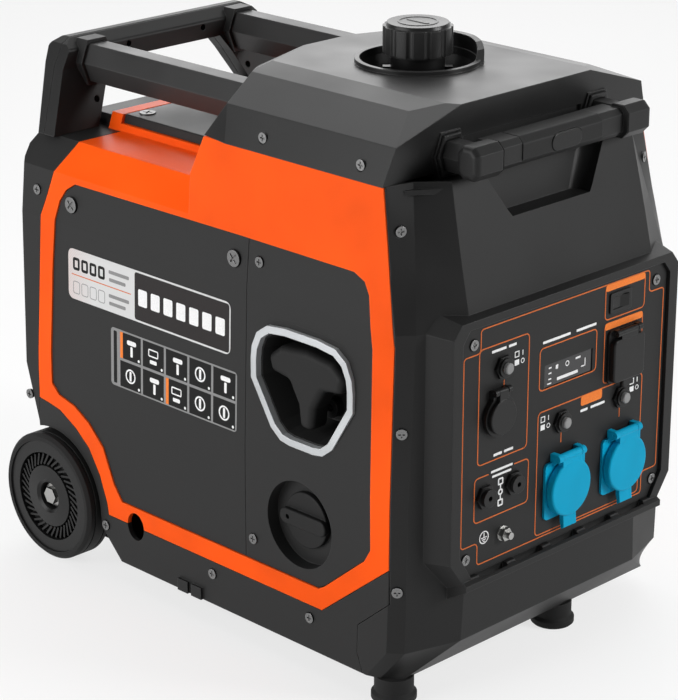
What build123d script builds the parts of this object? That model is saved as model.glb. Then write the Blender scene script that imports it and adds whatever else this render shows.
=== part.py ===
from build123d import *
import math
import os

os.makedirs("parts", exist_ok=True)

# Inverter generator, millimetres, +Z up, ground at z = 0.
# +X points at the control panel, -Y at the recoil starter side.

# ---- driving dimensions ----
half_width = 170.0          # half of the housing width at the skirt
wall = 4.5                  # thickness of the housing shells
seam = 0.6                  # visible gap between neighbouring shells
slack = 0.3                 # clearance between parts that move and parts that don't
running = 0.08              # radial clearance of shafts in their bores
panel_step = 1.2            # how far the black side panels lie below the orange frame
base_z = 22.0               # underside of the base tub
skirt_z = 62.5              # top edge of the black skirt
deck_z = 392.0              # orange deck beside the service cover
cover_z = 435.0             # joint between the side frames and the top cover
wheel_x = -205.0
wheel_r = 60.0
wheel_w = 28.0
axle_r = 6.0
rail_y = 88.5               # side rails and telescopic tubes
rail_z = 449.0
filler_x = 85.0             # fuel filler
filler_r = 52.5
cap_r = 30.0
foot_h = 22.0
panel_x = 254.8             # face of the control panel
pull_x = 118.5              # starter handle
choke_x = 116.0
choke_z = 132.0
socket_flange = 50.0        # AC socket flange, square
socket_r = 20.5             # mouth of an AC socket
ac_z = 158.0
ac_y = (0.4, 73.4)

# ---- shared outlines (side view, x and z) ----
# body levels: z, inward lean, rear x, side seam x, corner (x, inset), front x, crease y
levels = [
    (base_z, 0.0, -190.0, 195.0, (207.0, 4.0), 222.0, 153.0),
    (50.0, 0.0, -214.8, 217.6, (229.2, 9.6), 244.7, 111.0),
    (66.0, 0.0, -229.0, 218.0, (229.5, 9.6), 245.0, 110.0),
    (127.0, 0.0, -234.0, 220.0, (230.5, 9.6), 246.0, 107.0),
    (180.0, 0.4, -250.0, 220.0, (230.5, 9.8), 246.0, 108.0),
    (322.0, 4.8, -252.0, 220.0, (231.0, 12.0), 251.6, 113.0),
    (371.0, 9.0, -251.0, 209.5, (219.7, 18.3), 240.3, 112.0),
    (395.0, 10.8, -239.0, 205.1, (214.2, 21.1), 234.7, 111.0),
    (cover_z, 13.5, -239.0, 198.0, (205.0, 25.8), 225.4, 109.0),
]

frame_outline = [
    (-184, 400), (-189, 387.5), (-199, 367.5), (-208, 343), (-216, 324), (-222.4, 195),
    (-222.6, 150), (-210.6, 148.5), (-193.6, 145.5), (-171.5, 134), (-154, 120), (-140, 98),
    (-131, 74), (-129, skirt_z), (143.6, skirt_z), (220, 124), (220, 312), (198, 435),
    (198, 450), (-184, 450),
]
opening_outline = [
    (-182, 353), (-170, 360.5), (38, 362), (172, 361.7), (184, 356.5), (189.5, 347),
    (196, 304.5), (198.7, 135), (192, 123.5), (147, 86), (139, 81), (-110, 81), (-120.5, 95),
    (-134, 126), (-153, 144), (-173, 155), (-194, 160), (-203.6, 169), (-204, 200),
    (-200, 278), (-196, 324), (-190, 342),
]
front_outline = [
    (220, 312), (220, 94), (185, 64), (184.4, 39), (193.7, 15), (300, 15), (300, 450),
    (198 - 15 * 22 / 123, 450),
]
tub_outline = [
    (-300, 136), (-223, 136), (-222.6, 150), (-210.6, 148.5), (-193.6, 145.5),
    (-171.5, 134), (-154, 120), (-140, 98), (-131, 74), (-129, skirt_z), (143.6, skirt_z),
    (220, 124), (220, 94), (185, 64), (184.4, 39), (193.7, 15), (-300, 15),
]
rear_outline = [
    (-300, 136), (-223, 136), (-222.6, 150), (-222.4, 195), (-216, 324), (-208, 343),
    (-199, 367.5), (-189, 387.5), (-184, 400), (-184, 450), (-300, 450),
]
door_seam_x = 51.0
window_outline = [
    (59.6, 246), (59.6, 263), (61, 274), (67, 287), (79, 295.5), (100, 298), (137, 298),
    (158, 295.5), (170, 287), (176, 274), (177.4, 263), (177.4, 246), (154, 208), (143, 199.5),
    (132, 197.7), (105, 197.7), (94, 199.5), (83, 208),
]


# ---- helpers ----
def side(y):
    """Plane facing -Y at the given y, local axes along X and Z."""
    return Plane.XZ.offset(-y)


def face_on(x):
    """Plane facing +X at the given x, local axes along Y and Z."""
    return Plane.YZ.offset(x)


def prism(points, plane, depth, grow=0.0):
    with BuildPart() as solid:
        with BuildSketch(plane):
            with BuildLine():
                Polyline(*points, close=True)
            make_face()
            if grow:
                offset(amount=grow, kind=Kind.INTERSECTION)
        extrude(amount=depth)
    return solid.part


def block(x0, x1, y0, y1, z0, z1):
    """Box between two corners."""
    with BuildPart() as solid:
        with Locations(((x0 + x1) / 2, (y0 + y1) / 2, z0)):
            Box(x1 - x0, y1 - y0, z1 - z0, align=(Align.CENTER, Align.CENTER, Align.MIN))
    return solid.part


def mirrored(part):
    """The same shape on the other side of the machine."""
    with BuildPart() as solid:
        add(part)
        mirror(about=Plane.XZ)
    return solid.part


def save(builder, name):
    builder.part.label = name
    export_step(builder.part, "parts/" + name + ".step")


def plan_points(level):
    z, lean, rear, seam_x, corner, front, crease = level
    w = half_width - lean
    half = [(rear, w - 10), (rear + 10, w), (seam_x, w), (corner[0], w - corner[1]),
            (front, crease)]
    return [(x, y) for x, y in half] + [(x, -y) for x, y in reversed(half)]


def body_form(inset):
    """Housing shape shrunk by inset: sides, sloping front, lowered rear deck."""
    with BuildPart() as form:
        for level in levels:
            top = inset > panel_step and level[0] == cover_z
            with BuildSketch(Plane.XY.offset(level[0] + (8.0 if top else 0.0))):
                with BuildLine():
                    Polyline(*plan_points(level), close=True)
                make_face()
                if inset:
                    offset(amount=-inset, kind=Kind.INTERSECTION)
        loft(ruled=True)
        z = deck_z - inset
        with BuildSketch(side(220)):
            with BuildLine():
                Polyline((-300, z), (-26 + inset, z), (-2 + inset, 446), (-300, 446), close=True)
            make_face()
        extrude(amount=440, mode=Mode.SUBTRACT)
        drop = inset * 1.25
        with BuildSketch(face_on(-300)):
            with BuildLine():
                Polyline((168.6, 357 - drop), (142, 392 - drop), (142, 450), (200, 450),
                         (200, 357 - drop), close=True)
            make_face()
            mirror(about=Plane.YZ)
        extrude(amount=278 - inset, mode=Mode.SUBTRACT)
    return form.part


outer_form = body_form(0.0)
panel_form = body_form(panel_step)
inner_form = body_form(wall)

# ---- screws: heads in shallow seats, shanks in clearance holes ----
def at_height(z, column):
    """Value of one column of the body levels at a height between two levels."""
    for low, high in zip(levels, levels[1:]):
        if low[0] <= z <= high[0]:
            t = (z - low[0]) / (high[0] - low[0])
            return low[column] + t * (high[column] - low[column])
    return levels[-1][column]


def corner_seat(z):
    """Middle of the slanted corner strip at a height, and the way it faces."""
    for low, high in zip(levels, levels[1:]):
        if low[0] <= z <= high[0]:
            t = (z - low[0]) / (high[0] - low[0])
            cx = low[4][0] + t * (high[4][0] - low[4][0])
            cin = low[4][1] + t * (high[4][1] - low[4][1])
    w = half_width - at_height(z, 1)
    sx = at_height(z, 3)
    run, fall = cx - sx, cin
    size = math.hypot(run, fall)
    return ((sx + cx) / 2, -(w - cin / 2), z), (fall / size, -run / size, 0)


seats = []
for x, z in ((-133, 51.5), (9.4, 51), (129.4, 51), (-221, 346), (-236, 150)):
    seats.append(((x, -(half_width - at_height(z, 1)), z), (0, -1, 0)))
for x, z in ((64.8, 345), (60.5, 100.4)):
    seats.append(((x, -(half_width - at_height(z, 1) - panel_step), z), (0, -1, 0)))
for z in (105, 241, 400):
    seats.append(corner_seat(z))
for x in (62.4, 172.3):
    seats.append(((x, -half_width + 15.5, 447), (0, -1, 0)))
seats = seats + [((x, -y, z), (a, -b, c)) for (x, y, z), (a, b, c) in seats]
for y, z in ((113, 310), (-113, 310), (118.5, 128), (-118.5, 128)):
    seats.append(((panel_x, y, z), (1, 0, 0)))
head_r, head_t, sink = 4.5, 2.4, 1.2
handle_screws = [(-238.9, 45, 456), (-228.9, 92, 415)]
shank_r = 2.0


def seat_plane(seat, depth):
    point, normal = seat
    origin = Vector(*point) - Vector(*normal) * depth
    return Plane(origin=origin, z_dir=normal, x_dir=(-normal[1], normal[0], 0))


with BuildPart() as screw_seats:
    for seat in seats:
        with BuildSketch(seat_plane(seat, 14)):
            Circle(shank_r + 0.2)
        extrude(amount=16)
        with BuildSketch(seat_plane(seat, sink)):
            Circle(head_r + 0.5)
        extrude(amount=6)
with BuildPart() as housing_screws:
    for seat in seats:
        with BuildSketch(seat_plane(seat, 11)):
            Circle(shank_r)
        extrude(amount=11)
        with BuildSketch(seat_plane(seat, sink - 0.05)):
            Circle(head_r)
        extrude(amount=head_t)
    for seat in seats:
        with BuildSketch(seat_plane(seat, sink - 0.05 - head_t)):
            Rectangle(5.4, 1.2)
            Rectangle(1.2, 5.4)
        extrude(amount=-1.3, mode=Mode.SUBTRACT)
    # lock screw of the service cover
    with BuildSketch(Plane.XY.offset(deck_z - wall)):
        with Locations((-178, -70)):
            Circle(4.0)
    extrude(amount=18)
    with BuildSketch(Plane.XY.offset(deck_z + 12.7)):
        with Locations((-178, -70)):
            Circle(7.2)
    extrude(amount=2.2)
    with BuildSketch(Plane.XY.offset(deck_z + 14.9)):
        with Locations((-178, -70)):
            Rectangle(9, 1.6, rotation=30)
            Rectangle(9, 1.6, rotation=120)
    extrude(amount=-1.4, mode=Mode.SUBTRACT)
    # screws of the carry handle, at the bottom of their bores
    for x, y, z in handle_screws:
        with BuildSketch(face_on(x)):
            with Locations((y, z), (-y, z)):
                Circle(2.8)
        extrude(amount=3)
save(housing_screws, "housing_screws")

# ---- base tub: skirt, fenders, wheel wells and floor ----
well_r = wheel_r + 5
well_y = half_width - 24.0


def well_prism(grow, y0):
    """Wheel well: round over the tyre, open towards the ground."""
    r = well_r + grow
    with BuildPart() as well:
        with BuildSketch(side(y0)):
            with BuildLine():
                Line((wheel_x + r, wheel_r), (wheel_x + r + 2, wheel_r - 13))
                Line((wheel_x + r + 2, wheel_r - 13), (wheel_x + r + 34, 15))
                Line((wheel_x + r + 34, 15), (-320, 15))
                Line((-320, 15), (-320, wheel_r))
                Line((-320, wheel_r), (wheel_x - r, wheel_r))
                CenterArc((wheel_x, wheel_r), r, 0, 180)
            make_face()
        extrude(amount=220 + y0)
    return well.part


well_cut = mirrored(well_prism(0.0, -well_y))
well_wall = mirrored(well_prism(3.5, -well_y + 3.5))
tub_region = prism(tub_outline, side(220), 440, grow=-seam / 2)
with BuildPart() as strap_eye:
    with BuildSketch(side(-half_width + wall + 3)):
        with Locations((-92, 62.5)):
            Ellipse(11, 13)
    extrude(amount=wall + 6)
floor_slab = block(-182, 183.4, -half_width + 2, half_width - 2, base_z, base_z + wall)
nose_slab = block(182, 216.5, -148, 148, base_z, base_z + wall)
with BuildPart() as base_tub:
    add(outer_form)
    add(tub_region, mode=Mode.INTERSECT)
    add(inner_form, mode=Mode.SUBTRACT)
    add(floor_slab)
    add(nose_slab)
    add(well_cut, mode=Mode.SUBTRACT)
with BuildPart() as well_liner:
    add(outer_form)
    add(tub_region, mode=Mode.INTERSECT)
    add(well_wall, mode=Mode.INTERSECT)
    add(well_cut, mode=Mode.SUBTRACT)
with BuildPart() as base_tub_full:
    add(base_tub.part)
    add(well_liner.part)
    # strap eye, and two short ribs at the bottom edge of the skirt
    add(strap_eye.part, mode=Mode.SUBTRACT)
    with BuildSketch(side(-half_width + 1)):
        with Locations((-28, 27.5), (-10.5, 27.5)):
            Rectangle(13, 11)
    extrude(amount=3.5)
    # axle bosses on the inner walls of the wells, and their bores
    for flip in (1, -1):
        with BuildSketch(side(flip * (well_y - 3.5))):
            with Locations((wheel_x, wheel_r)):
                Circle(13)
        extrude(amount=12 * flip)
    with BuildSketch(side(220)):
        with Locations((wheel_x, wheel_r)):
            Circle(axle_r + 0.2)
    extrude(amount=440, mode=Mode.SUBTRACT)
    # cooling slots in the floor
    with BuildSketch(Plane.XY.offset(base_z - 1)):
        with GridLocations(34, 50, 6, 3):
            SlotOverall(40, 7, rotation=90)
    extrude(amount=wall + 2, mode=Mode.SUBTRACT)
    add(screw_seats.part, mode=Mode.SUBTRACT)
save(base_tub_full, "base_tub")

# ---- six-sided sections shared by the rails, tubes and collars ----
def hexagon(half_flat, half_width_hex, half_height):
    return [(half_flat, half_height), (half_width_hex, 0), (half_flat, -half_height),
            (-half_flat, -half_height), (-half_width_hex, 0), (-half_flat, half_height)]


def hex_pair(points, x0, x1, grow=0.0):
    """Pair of six-sided bars along X at the rail positions."""
    with BuildPart() as bars:
        for y in (rail_y, -rail_y):
            with BuildSketch(face_on(x0)):
                with BuildLine():
                    Polyline(*[(y + p, rail_z + q) for p, q in points], close=True)
                make_face()
                if grow:
                    offset(amount=grow, kind=Kind.INTERSECTION)
            extrude(amount=x1 - x0)
    return bars.part


rail_section = hexagon(8.5, 15.0, 17.0)
tube_section = hexagon(6.6, 11.0, 12.0)
collar_section = hexagon(9.4, 15.6, 16.6)

# ---- orange side frames with the two halves of the deck ----
platform_side = [(-94, deck_z - 3), (-88, deck_z + 14), (0, deck_z + 14), (0, deck_z - 3)]
service_floor_z = deck_z + 6
frame_region = prism(frame_outline, side(0), 220, grow=-seam / 2)
rear_tongue = block(-205, -180, -94, 0, deck_z - 12, deck_z + 20)
opening_cut = prism(opening_outline, side(-half_width + 40), 60, grow=seam / 2)
with BuildPart() as frame_shell:
    add(outer_form)
    add(frame_region, mode=Mode.INTERSECT)
with BuildPart() as tongue_shell:
    add(outer_form)
    add(rear_tongue, mode=Mode.INTERSECT)
platform = prism(platform_side, face_on(-205), 205 - 34)
with BuildPart() as frame_half:
    add(frame_shell.part)
    add(tongue_shell.part)
    add(platform)
    add(inner_form, mode=Mode.SUBTRACT)
    add(block(-190.3, -34, -120, 1, service_floor_z, deck_z + 20), mode=Mode.SUBTRACT)
    add(opening_cut, mode=Mode.SUBTRACT)
    add(block(-320, 320, -seam / 2, 5, 0, 500), mode=Mode.SUBTRACT)
    add(hex_pair(rail_section, -60, 60, grow=0.2), mode=Mode.SUBTRACT)
    with BuildSketch(Plane.XY.offset(deck_z - wall - 1)):
        with Locations((-178, -70)):
            Circle(4.2)
    extrude(amount=30, mode=Mode.SUBTRACT)
with BuildPart() as side_frame_left:
    add(frame_half.part)
    add(strap_eye.part, mode=Mode.SUBTRACT)
save(side_frame_left, "side_frame_left")
with BuildPart() as side_frame_right:
    add(mirror(frame_half.part, about=Plane.XZ))
save(side_frame_right, "side_frame_right")

# ---- rear cover with exhaust outlet and cooling louvres ----
rear_region = prism(rear_outline, side(220), 440, grow=-seam / 2)
with BuildPart() as rear_cover:
    add(outer_form)
    add(rear_region, mode=Mode.INTERSECT)
    add(inner_form, mode=Mode.SUBTRACT)
    add(block(-205.6, -170, -94.6, 94.6, deck_z - 30, deck_z + 30), mode=Mode.SUBTRACT)
    # raised shoulder behind the deck platform
    with BuildSketch(side(86)):
        with BuildLine():
            Polyline((-239, deck_z - 3), (-236, deck_z + 10), (-206, deck_z + 10),
                     (-206, deck_z - 3), close=True)
        make_face()
    extrude(amount=172)
    # louvres
    with BuildSketch(face_on(-270)):
        with GridLocations(0, 15, 1, 7):
            with Locations((0, 255)):
                SlotOverall(190, 7)
    extrude(amount=40, mode=Mode.SUBTRACT)
    # round exhaust outlet with a collar
    with BuildSketch(face_on(-256)):
        with Locations((62, 172)):
            Circle(26)
    extrude(amount=24)
    with BuildSketch(face_on(-270)):
        with Locations((62, 172)):
            Circle(21)
    extrude(amount=60, mode=Mode.SUBTRACT)
    add(screw_seats.part, mode=Mode.SUBTRACT)
save(rear_cover, "rear_cover")

# ---- maintenance door ----
door_region = prism(opening_outline, side(-half_width + 20), 60, grow=-seam / 2)
door_pan = prism(opening_outline, side(-half_width + 24), 60, grow=-seam / 2 - 3)
left_of_seam = block(-320, door_seam_x - seam / 2, -260, 0, 0, 500)
right_of_seam = block(door_seam_x + seam / 2, 320, -260, 0, 0, 500)
lock_z = 341.5
lock_x = {"rear": -174.7, "front": 35.0}
with BuildPart() as door_hollow:
    add(door_pan)
    add(inner_form, mode=Mode.INTERSECT)
    add(block(-320, door_seam_x - seam / 2 - 3, -260, 0, 0, 500), mode=Mode.INTERSECT)
with BuildPart() as door_ribs:
    with BuildSketch(side(-half_width + 14)):
        with Locations((-75, 300), (-75, 220), (-75, 140)):
            Rectangle(180, 2.4)
    extrude(amount=30)
    add(panel_form, mode=Mode.INTERSECT)
    add(door_pan, mode=Mode.INTERSECT)
with BuildPart() as maintenance_door:
    add(panel_form)
    add(door_region, mode=Mode.INTERSECT)
    add(left_of_seam, mode=Mode.INTERSECT)
    add(door_hollow.part, mode=Mode.SUBTRACT)
    with BuildSketch(side(-half_width + 40)):
        with Locations(*[(x, lock_z) for x in lock_x.values()]):
            Circle(5 + running)
    extrude(amount=60, mode=Mode.SUBTRACT)
    with BuildSketch(side(-half_width + 8.5)):
        with Locations(*[(x, lock_z) for x in lock_x.values()]):
            Circle(8.0)
    extrude(amount=60, mode=Mode.SUBTRACT)
    add(door_ribs.part)
save(maintenance_door, "maintenance_door")
for name, x in lock_x.items():
    with BuildPart() as door_lock:
        with BuildSketch(side(-half_width + 8.2)):
            with Locations((x, lock_z)):
                Circle(7.2)
        extrude(amount=2.4)
        with BuildSketch(side(-half_width + 8.2)):
            with Locations((x, lock_z)):
                Circle(5)
        extrude(amount=-12)
        with BuildSketch(side(-half_width + 19.4)):
            with Locations((x, lock_z)):
                SlotOverall(15, 6)
        extrude(amount=-3)
        with BuildSketch(side(-half_width + 5.8)):
            with Locations((x, lock_z)):
                Rectangle(10, 1.8, rotation=45)
                Rectangle(10, 1.8, rotation=-45)
        extrude(amount=-1.2, mode=Mode.SUBTRACT)
    save(door_lock, "door_lock_" + name)

# ---- recoil cover: window pocket and choke dish ----
pocket_y = -half_width + 42
dish_y = -half_width + 13.5
bush_y = pocket_y - 8
with BuildPart() as pocket_form:
    with BuildSketch(side(-half_width + 1)):
        with BuildLine():
            Polyline(*window_outline, close=True)
        make_face()
        offset(amount=-6, kind=Kind.INTERSECTION)
    with BuildSketch(side(pocket_y)):
        with BuildLine():
            Polyline(*window_outline, close=True)
        make_face()
        offset(amount=-15, kind=Kind.INTERSECTION)
    loft(ruled=True)
with BuildPart() as pocket_shell:
    with BuildSketch(side(-half_width + 9)):
        with BuildLine():
            Polyline(*window_outline, close=True)
        make_face()
        offset(amount=-3, kind=Kind.INTERSECTION)
    with BuildSketch(side(pocket_y + 3)):
        with BuildLine():
            Polyline(*window_outline, close=True)
        make_face()
        offset(amount=-12, kind=Kind.INTERSECTION)
    loft(ruled=True)
with BuildPart() as recoil_hollow:
    add(door_pan)
    add(inner_form, mode=Mode.INTERSECT)
    add(block(door_seam_x + seam / 2 + 3, 320, -260, 0, 0, 500), mode=Mode.INTERSECT)
with BuildPart() as recoil_cover:
    add(panel_form)
    add(door_region, mode=Mode.INTERSECT)
    add(right_of_seam, mode=Mode.INTERSECT)
    add(recoil_hollow.part, mode=Mode.SUBTRACT)
    # choke dish
    with BuildSketch(side(dish_y + 3)):
        with Locations((choke_x, choke_z - 1.5)):
            Circle(41)
    extrude(amount=14)
    with BuildSketch(side(dish_y)):
        with Locations((choke_x, choke_z - 1.5)):
            Circle(38)
    extrude(amount=30, mode=Mode.SUBTRACT)
    with BuildSketch(side(dish_y + 10)):
        with Locations((choke_x, choke_z)):
            Circle(5 + running)
    extrude(amount=30, mode=Mode.SUBTRACT)
    # starter pocket, with the ledge that carries the trim
    with BuildSketch(side(-half_width + 12)):
        with BuildLine():
            Polyline(*window_outline, close=True)
        make_face()
        offset(amount=5, kind=Kind.INTERSECTION)
    extrude(amount=7)
    add(pocket_shell.part)
    add(pocket_form.part, mode=Mode.SUBTRACT)
    # rope bush on the back wall of the pocket
    with BuildSketch(side(pocket_y)):
        with Locations((pull_x, 226)):
            Circle(9)
    extrude(amount=8)
    with BuildSketch(side(pocket_y + 6)):
        with Locations((pull_x, 226)):
            Circle(3.6)
    extrude(amount=20, mode=Mode.SUBTRACT)
    # groove that seats the silver trim
    with BuildSketch(side(-half_width + 7.4)):
        with BuildLine():
            Polyline(*window_outline, close=True)
        make_face()
        offset(amount=0.2, kind=Kind.INTERSECTION)
    extrude(amount=12, mode=Mode.SUBTRACT)
    add(screw_seats.part, mode=Mode.SUBTRACT)
save(recoil_cover, "recoil_cover")

with BuildPart() as window_trim:
    with BuildSketch(side(-half_width + 7.3)):
        with BuildLine():
            Polyline(*window_outline, close=True)
        make_face()
        with BuildLine():
            Polyline(*window_outline, close=True)
        make_face()
        offset(amount=-6.2, kind=Kind.INTERSECTION, mode=Mode.SUBTRACT)
    extrude(amount=6.0)
save(window_trim, "window_trim")

# ---- right panel: one louvred sheet ----
with BuildPart() as right_hollow:
    add(door_pan)
    add(inner_form, mode=Mode.INTERSECT)
with BuildPart() as right_sheet:
    add(panel_form)
    add(door_region, mode=Mode.INTERSECT)
    add(right_hollow.part, mode=Mode.SUBTRACT)
    with BuildSketch(side(-half_width + 30)):
        with Locations((-60, 215), (100, 215)):
            with GridLocations(0, 14, 1, 9):
                SlotOverall(110, 6)
    extrude(amount=40, mode=Mode.SUBTRACT)
with BuildPart() as right_panel:
    add(mirror(right_sheet.part, about=Plane.XZ))
    add(screw_seats.part, mode=Mode.SUBTRACT)
save(right_panel, "right_panel")

# ---- top cover: flat facets, each through three points ----
cover_top = 487.0
eave = half_width - 11.0    # half widths of the cover at its lower edge,
brow = half_width - 22.0    # at the upright band,
crown = half_width - 62.0   # at the top of the slope
roof = half_width - 86.0    # and at the flat top
cover_faces = [
    ((0, eave, 435), (0, brow, 465), (100, brow, 465)),
    ((0, brow, 465), (0, crown, 482), (100, crown, 482)),
    ((0, crown, 482), (0, roof, 487), (100, roof, 487)),
    ((-10, eave - 6, 435), (13, brow, 465), (21, eave, 435)),
    ((-49, 97, 435), (0, crown, 482), (-10, eave - 6, 435)),
    ((-24, 33, 485), (-4, crown - 4, 482), (-44, 95, 465)),
    ((203, brow, 465), (178, crown, 482), (200, roof, 486)),
]
cover_faces_mid = [
    ((-49, 0, 435), (-49, 0, 465), (-49, 50, 435)),
    ((-49, 0, 465), (-24, 0, 485), (-49, 50, 465)),
    ((199.5, 0, 435), (203, 0, 465), (199.5, 50, 435)),
]


def facet(a, b, c, inset):
    """Plane through three points, facing away from the middle of the cover."""
    normal = (Vector(*b) - Vector(*a)).cross(Vector(*c) - Vector(*a)).normalized()
    if normal.dot(Vector(*a) - Vector(90, 0, 440)) < 0:
        normal = normal * -1
    return Plane(origin=Vector(*a) - normal * inset, z_dir=normal)


def cover_form(inset, bottom):
    with BuildPart() as form:
        with Locations((75, 0, bottom)):
            Box(300, 2 * half_width - 10, cover_top - inset - bottom,
                align=(Align.CENTER, Align.CENTER, Align.MIN))
        for a, b, c in cover_faces:
            split(bisect_by=facet(a, b, c, inset), keep=Keep.BOTTOM)
            flipped = [(x, -y, z) for x, y, z in (a, b, c)]
            split(bisect_by=facet(*flipped, inset), keep=Keep.BOTTOM)
        for a, b, c in cover_faces_mid:
            split(bisect_by=facet(a, b, c, inset), keep=Keep.BOTTOM)
    return form.part


bowl_z = 466.0
with BuildPart() as top_cover:
    add(cover_form(0.0, cover_z))
    # bowl around the filler, with a raised rolled rim
    with BuildSketch(Plane.XY.offset(bowl_z - 3)):
        with Locations((filler_x, 0)):
            Circle(filler_r)
    extrude(amount=490.5 - bowl_z + 3)
with BuildPart() as cover_hollow:
    add(cover_form(wall, cover_z - 1))
    with BuildSketch(Plane.XY.offset(bowl_z - 3)):
        with Locations((filler_x, 0)):
            Circle(filler_r)
    extrude(amount=40, mode=Mode.SUBTRACT)
with BuildPart() as bowl_cut:
    with BuildSketch(Plane.XZ):
        with BuildLine():
            Polyline((0, bowl_z), (34, bowl_z), (45, bowl_z + 6), (filler_r - 4.5, 484),
                     (filler_r - 3.5, 500), (0, 500), close=True)
        make_face()
    revolve(axis=Axis.Z)
guard_outline = [(-46, 478), (-46, 488), (-38, 497), (-28, 501), (-14, 502.5), (14, 502.5),
                 (28, 501), (38, 497), (46, 488), (46, 478)]
with BuildPart() as splash_guard:
    # raised wall on the far side of the bowl, falling off towards both ends
    with BuildSketch(Plane.XY.offset(478)):
        with Locations((filler_x, 0)):
            Circle(filler_r + 2.5)
            Circle(filler_r - 3.5, mode=Mode.SUBTRACT)
    extrude(amount=30)
    add(prism([(filler_x + u, z) for u, z in guard_outline], side(filler_r + 4), filler_r - 16),
        mode=Mode.INTERSECT)
with BuildPart() as top_cover_full:
    add(top_cover.part)
    # stepped frames round the two tubes
    add(hex_pair(hexagon(11.2, 17.6, 18.6), 190, 204.6))
    add(cover_hollow.part, mode=Mode.SUBTRACT)
    add(bowl_cut.part.moved(Location((filler_x, 0, 0))), mode=Mode.SUBTRACT)
    with BuildSketch(Plane.XY.offset(bowl_z - 10)):
        with Locations((filler_x, 0)):
            Circle(25.0)
    extrude(amount=20, mode=Mode.SUBTRACT)
    # rails enter at the rear, sliding tubes leave at the front
    add(hex_pair(rail_section, -60, 60, grow=0.2), mode=Mode.SUBTRACT)
    add(hex_pair(collar_section, 180, 230, grow=0.2), mode=Mode.SUBTRACT)
    # opening in the front face, closed by the upright wall of the front housing
    with BuildSketch(face_on(185)):
        with Locations((0, cover_z + 11)):
            Rectangle(142.8, 27)
    extrude(amount=30, mode=Mode.SUBTRACT)
    add(splash_guard.part)
    add(screw_seats.part, mode=Mode.SUBTRACT)
save(top_cover_full, "top_cover")

# ---- front housing: bumper, bezel, sloping top with hand recess ----
front_region = prism(front_outline, side(220), 440, grow=-seam / 2)
bezel_base = [(146, 128), (126, 100), (-126, 100), (-146, 128), (-146, 322), (-134, 336),
              (134, 336), (146, 322)]
bezel_rim = [(139, 130), (121, 105), (-121, 105), (-139, 130), (-139, 320), (-130, 331),
             (130, 331), (139, 320)]
panel_outline = [(128, 134), (114, 112), (-114, 112), (-128, 134), (-128, 314), (-120, 324),
                 (120, 324), (128, 314)]
with BuildPart() as bezel:
    with BuildSketch(face_on(234.5)):
        with BuildLine():
            Polyline(*bezel_base, close=True)
        make_face()
    with BuildSketch(face_on(panel_x + 3.2)):
        with BuildLine():
            Polyline(*bezel_rim, close=True)
        make_face()
    loft(ruled=True)
    # lip under the panel
    with BuildSketch(side(124)):
        with BuildLine():
            Polyline((240, 90), (panel_x + 7.2, 103), (panel_x + 7.2, 108), (panel_x, 112.5),
                     (240, 112.5), close=True)
        make_face()
    extrude(amount=248)
with BuildPart() as front_shell:
    add(outer_form)
    add(front_region, mode=Mode.INTERSECT)
    add(inner_form, mode=Mode.SUBTRACT)
shelf_points = [(x, y) for x, y in [(199, 140), (205, 140), (225.4, 109)]]
shelf_points = shelf_points + [(x, -y) for x, y in reversed(shelf_points)]
with BuildPart() as front_housing:
    add(front_shell.part)
    add(bezel.part)
    # shelf under the parked handle
    with BuildSketch(Plane.XY.offset(cover_z - 9)):
        with BuildLine():
            Polyline(*shelf_points, close=True)
        make_face()
    extrude(amount=4)
    # upright wall between the shelf and the top cover
    with BuildSketch(side(71)):
        with BuildLine():
            Polyline((194, 424), (199, 424), (199, 458.9), (194, 458.9), close=True)
        make_face()
    extrude(amount=142)
    # pocket behind the control panel
    with BuildSketch(face_on(200)):
        with BuildLine():
            Polyline(*panel_outline, close=True)
        make_face()
        offset(amount=-5, kind=Kind.INTERSECTION)
    extrude(amount=80, mode=Mode.SUBTRACT)
    with BuildSketch(face_on(panel_x - 4)):
        with BuildLine():
            Polyline(*panel_outline, close=True)
        make_face()
        offset(amount=seam / 2, kind=Kind.INTERSECTION)
    extrude(amount=30, mode=Mode.SUBTRACT)
with BuildPart() as hand_recess:
    with BuildSketch(Plane.XY.offset(cover_z + 3)):
        with Locations((232, 0)):
            RectangleRounded(46, 150, 14)
    with BuildSketch(Plane.XY.offset(396)):
        with Locations((228, 0)):
            RectangleRounded(22, 96, 8)
    loft(ruled=True)
with BuildPart() as hand_pan:
    with BuildSketch(Plane.XY.offset(cover_z - 5)):
        with Locations((228, 0)):
            RectangleRounded(50, 152, 16)
    with BuildSketch(Plane.XY.offset(392.5)):
        with Locations((224, 0)):
            RectangleRounded(26, 102, 10)
    loft(ruled=True)
with BuildPart() as hand_liner:
    add(outer_form)
    add(hand_pan.part, mode=Mode.INTERSECT)
    add(hand_recess.part, mode=Mode.SUBTRACT)
lip_slots = []
for y in (-88, -44, 0, 44, 88):
    lip_slots.append(block(panel_x - 1.5, panel_x + 4.6, y - 17, y + 17, 95, 118))
with BuildPart() as front_housing_full:
    add(front_housing.part)
    add(hand_recess.part, mode=Mode.SUBTRACT)
    add(hand_liner.part)
    for slot in lip_slots:
        add(slot, mode=Mode.SUBTRACT)
    add(screw_seats.part, mode=Mode.SUBTRACT)
save(front_housing_full, "front_housing")

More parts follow.
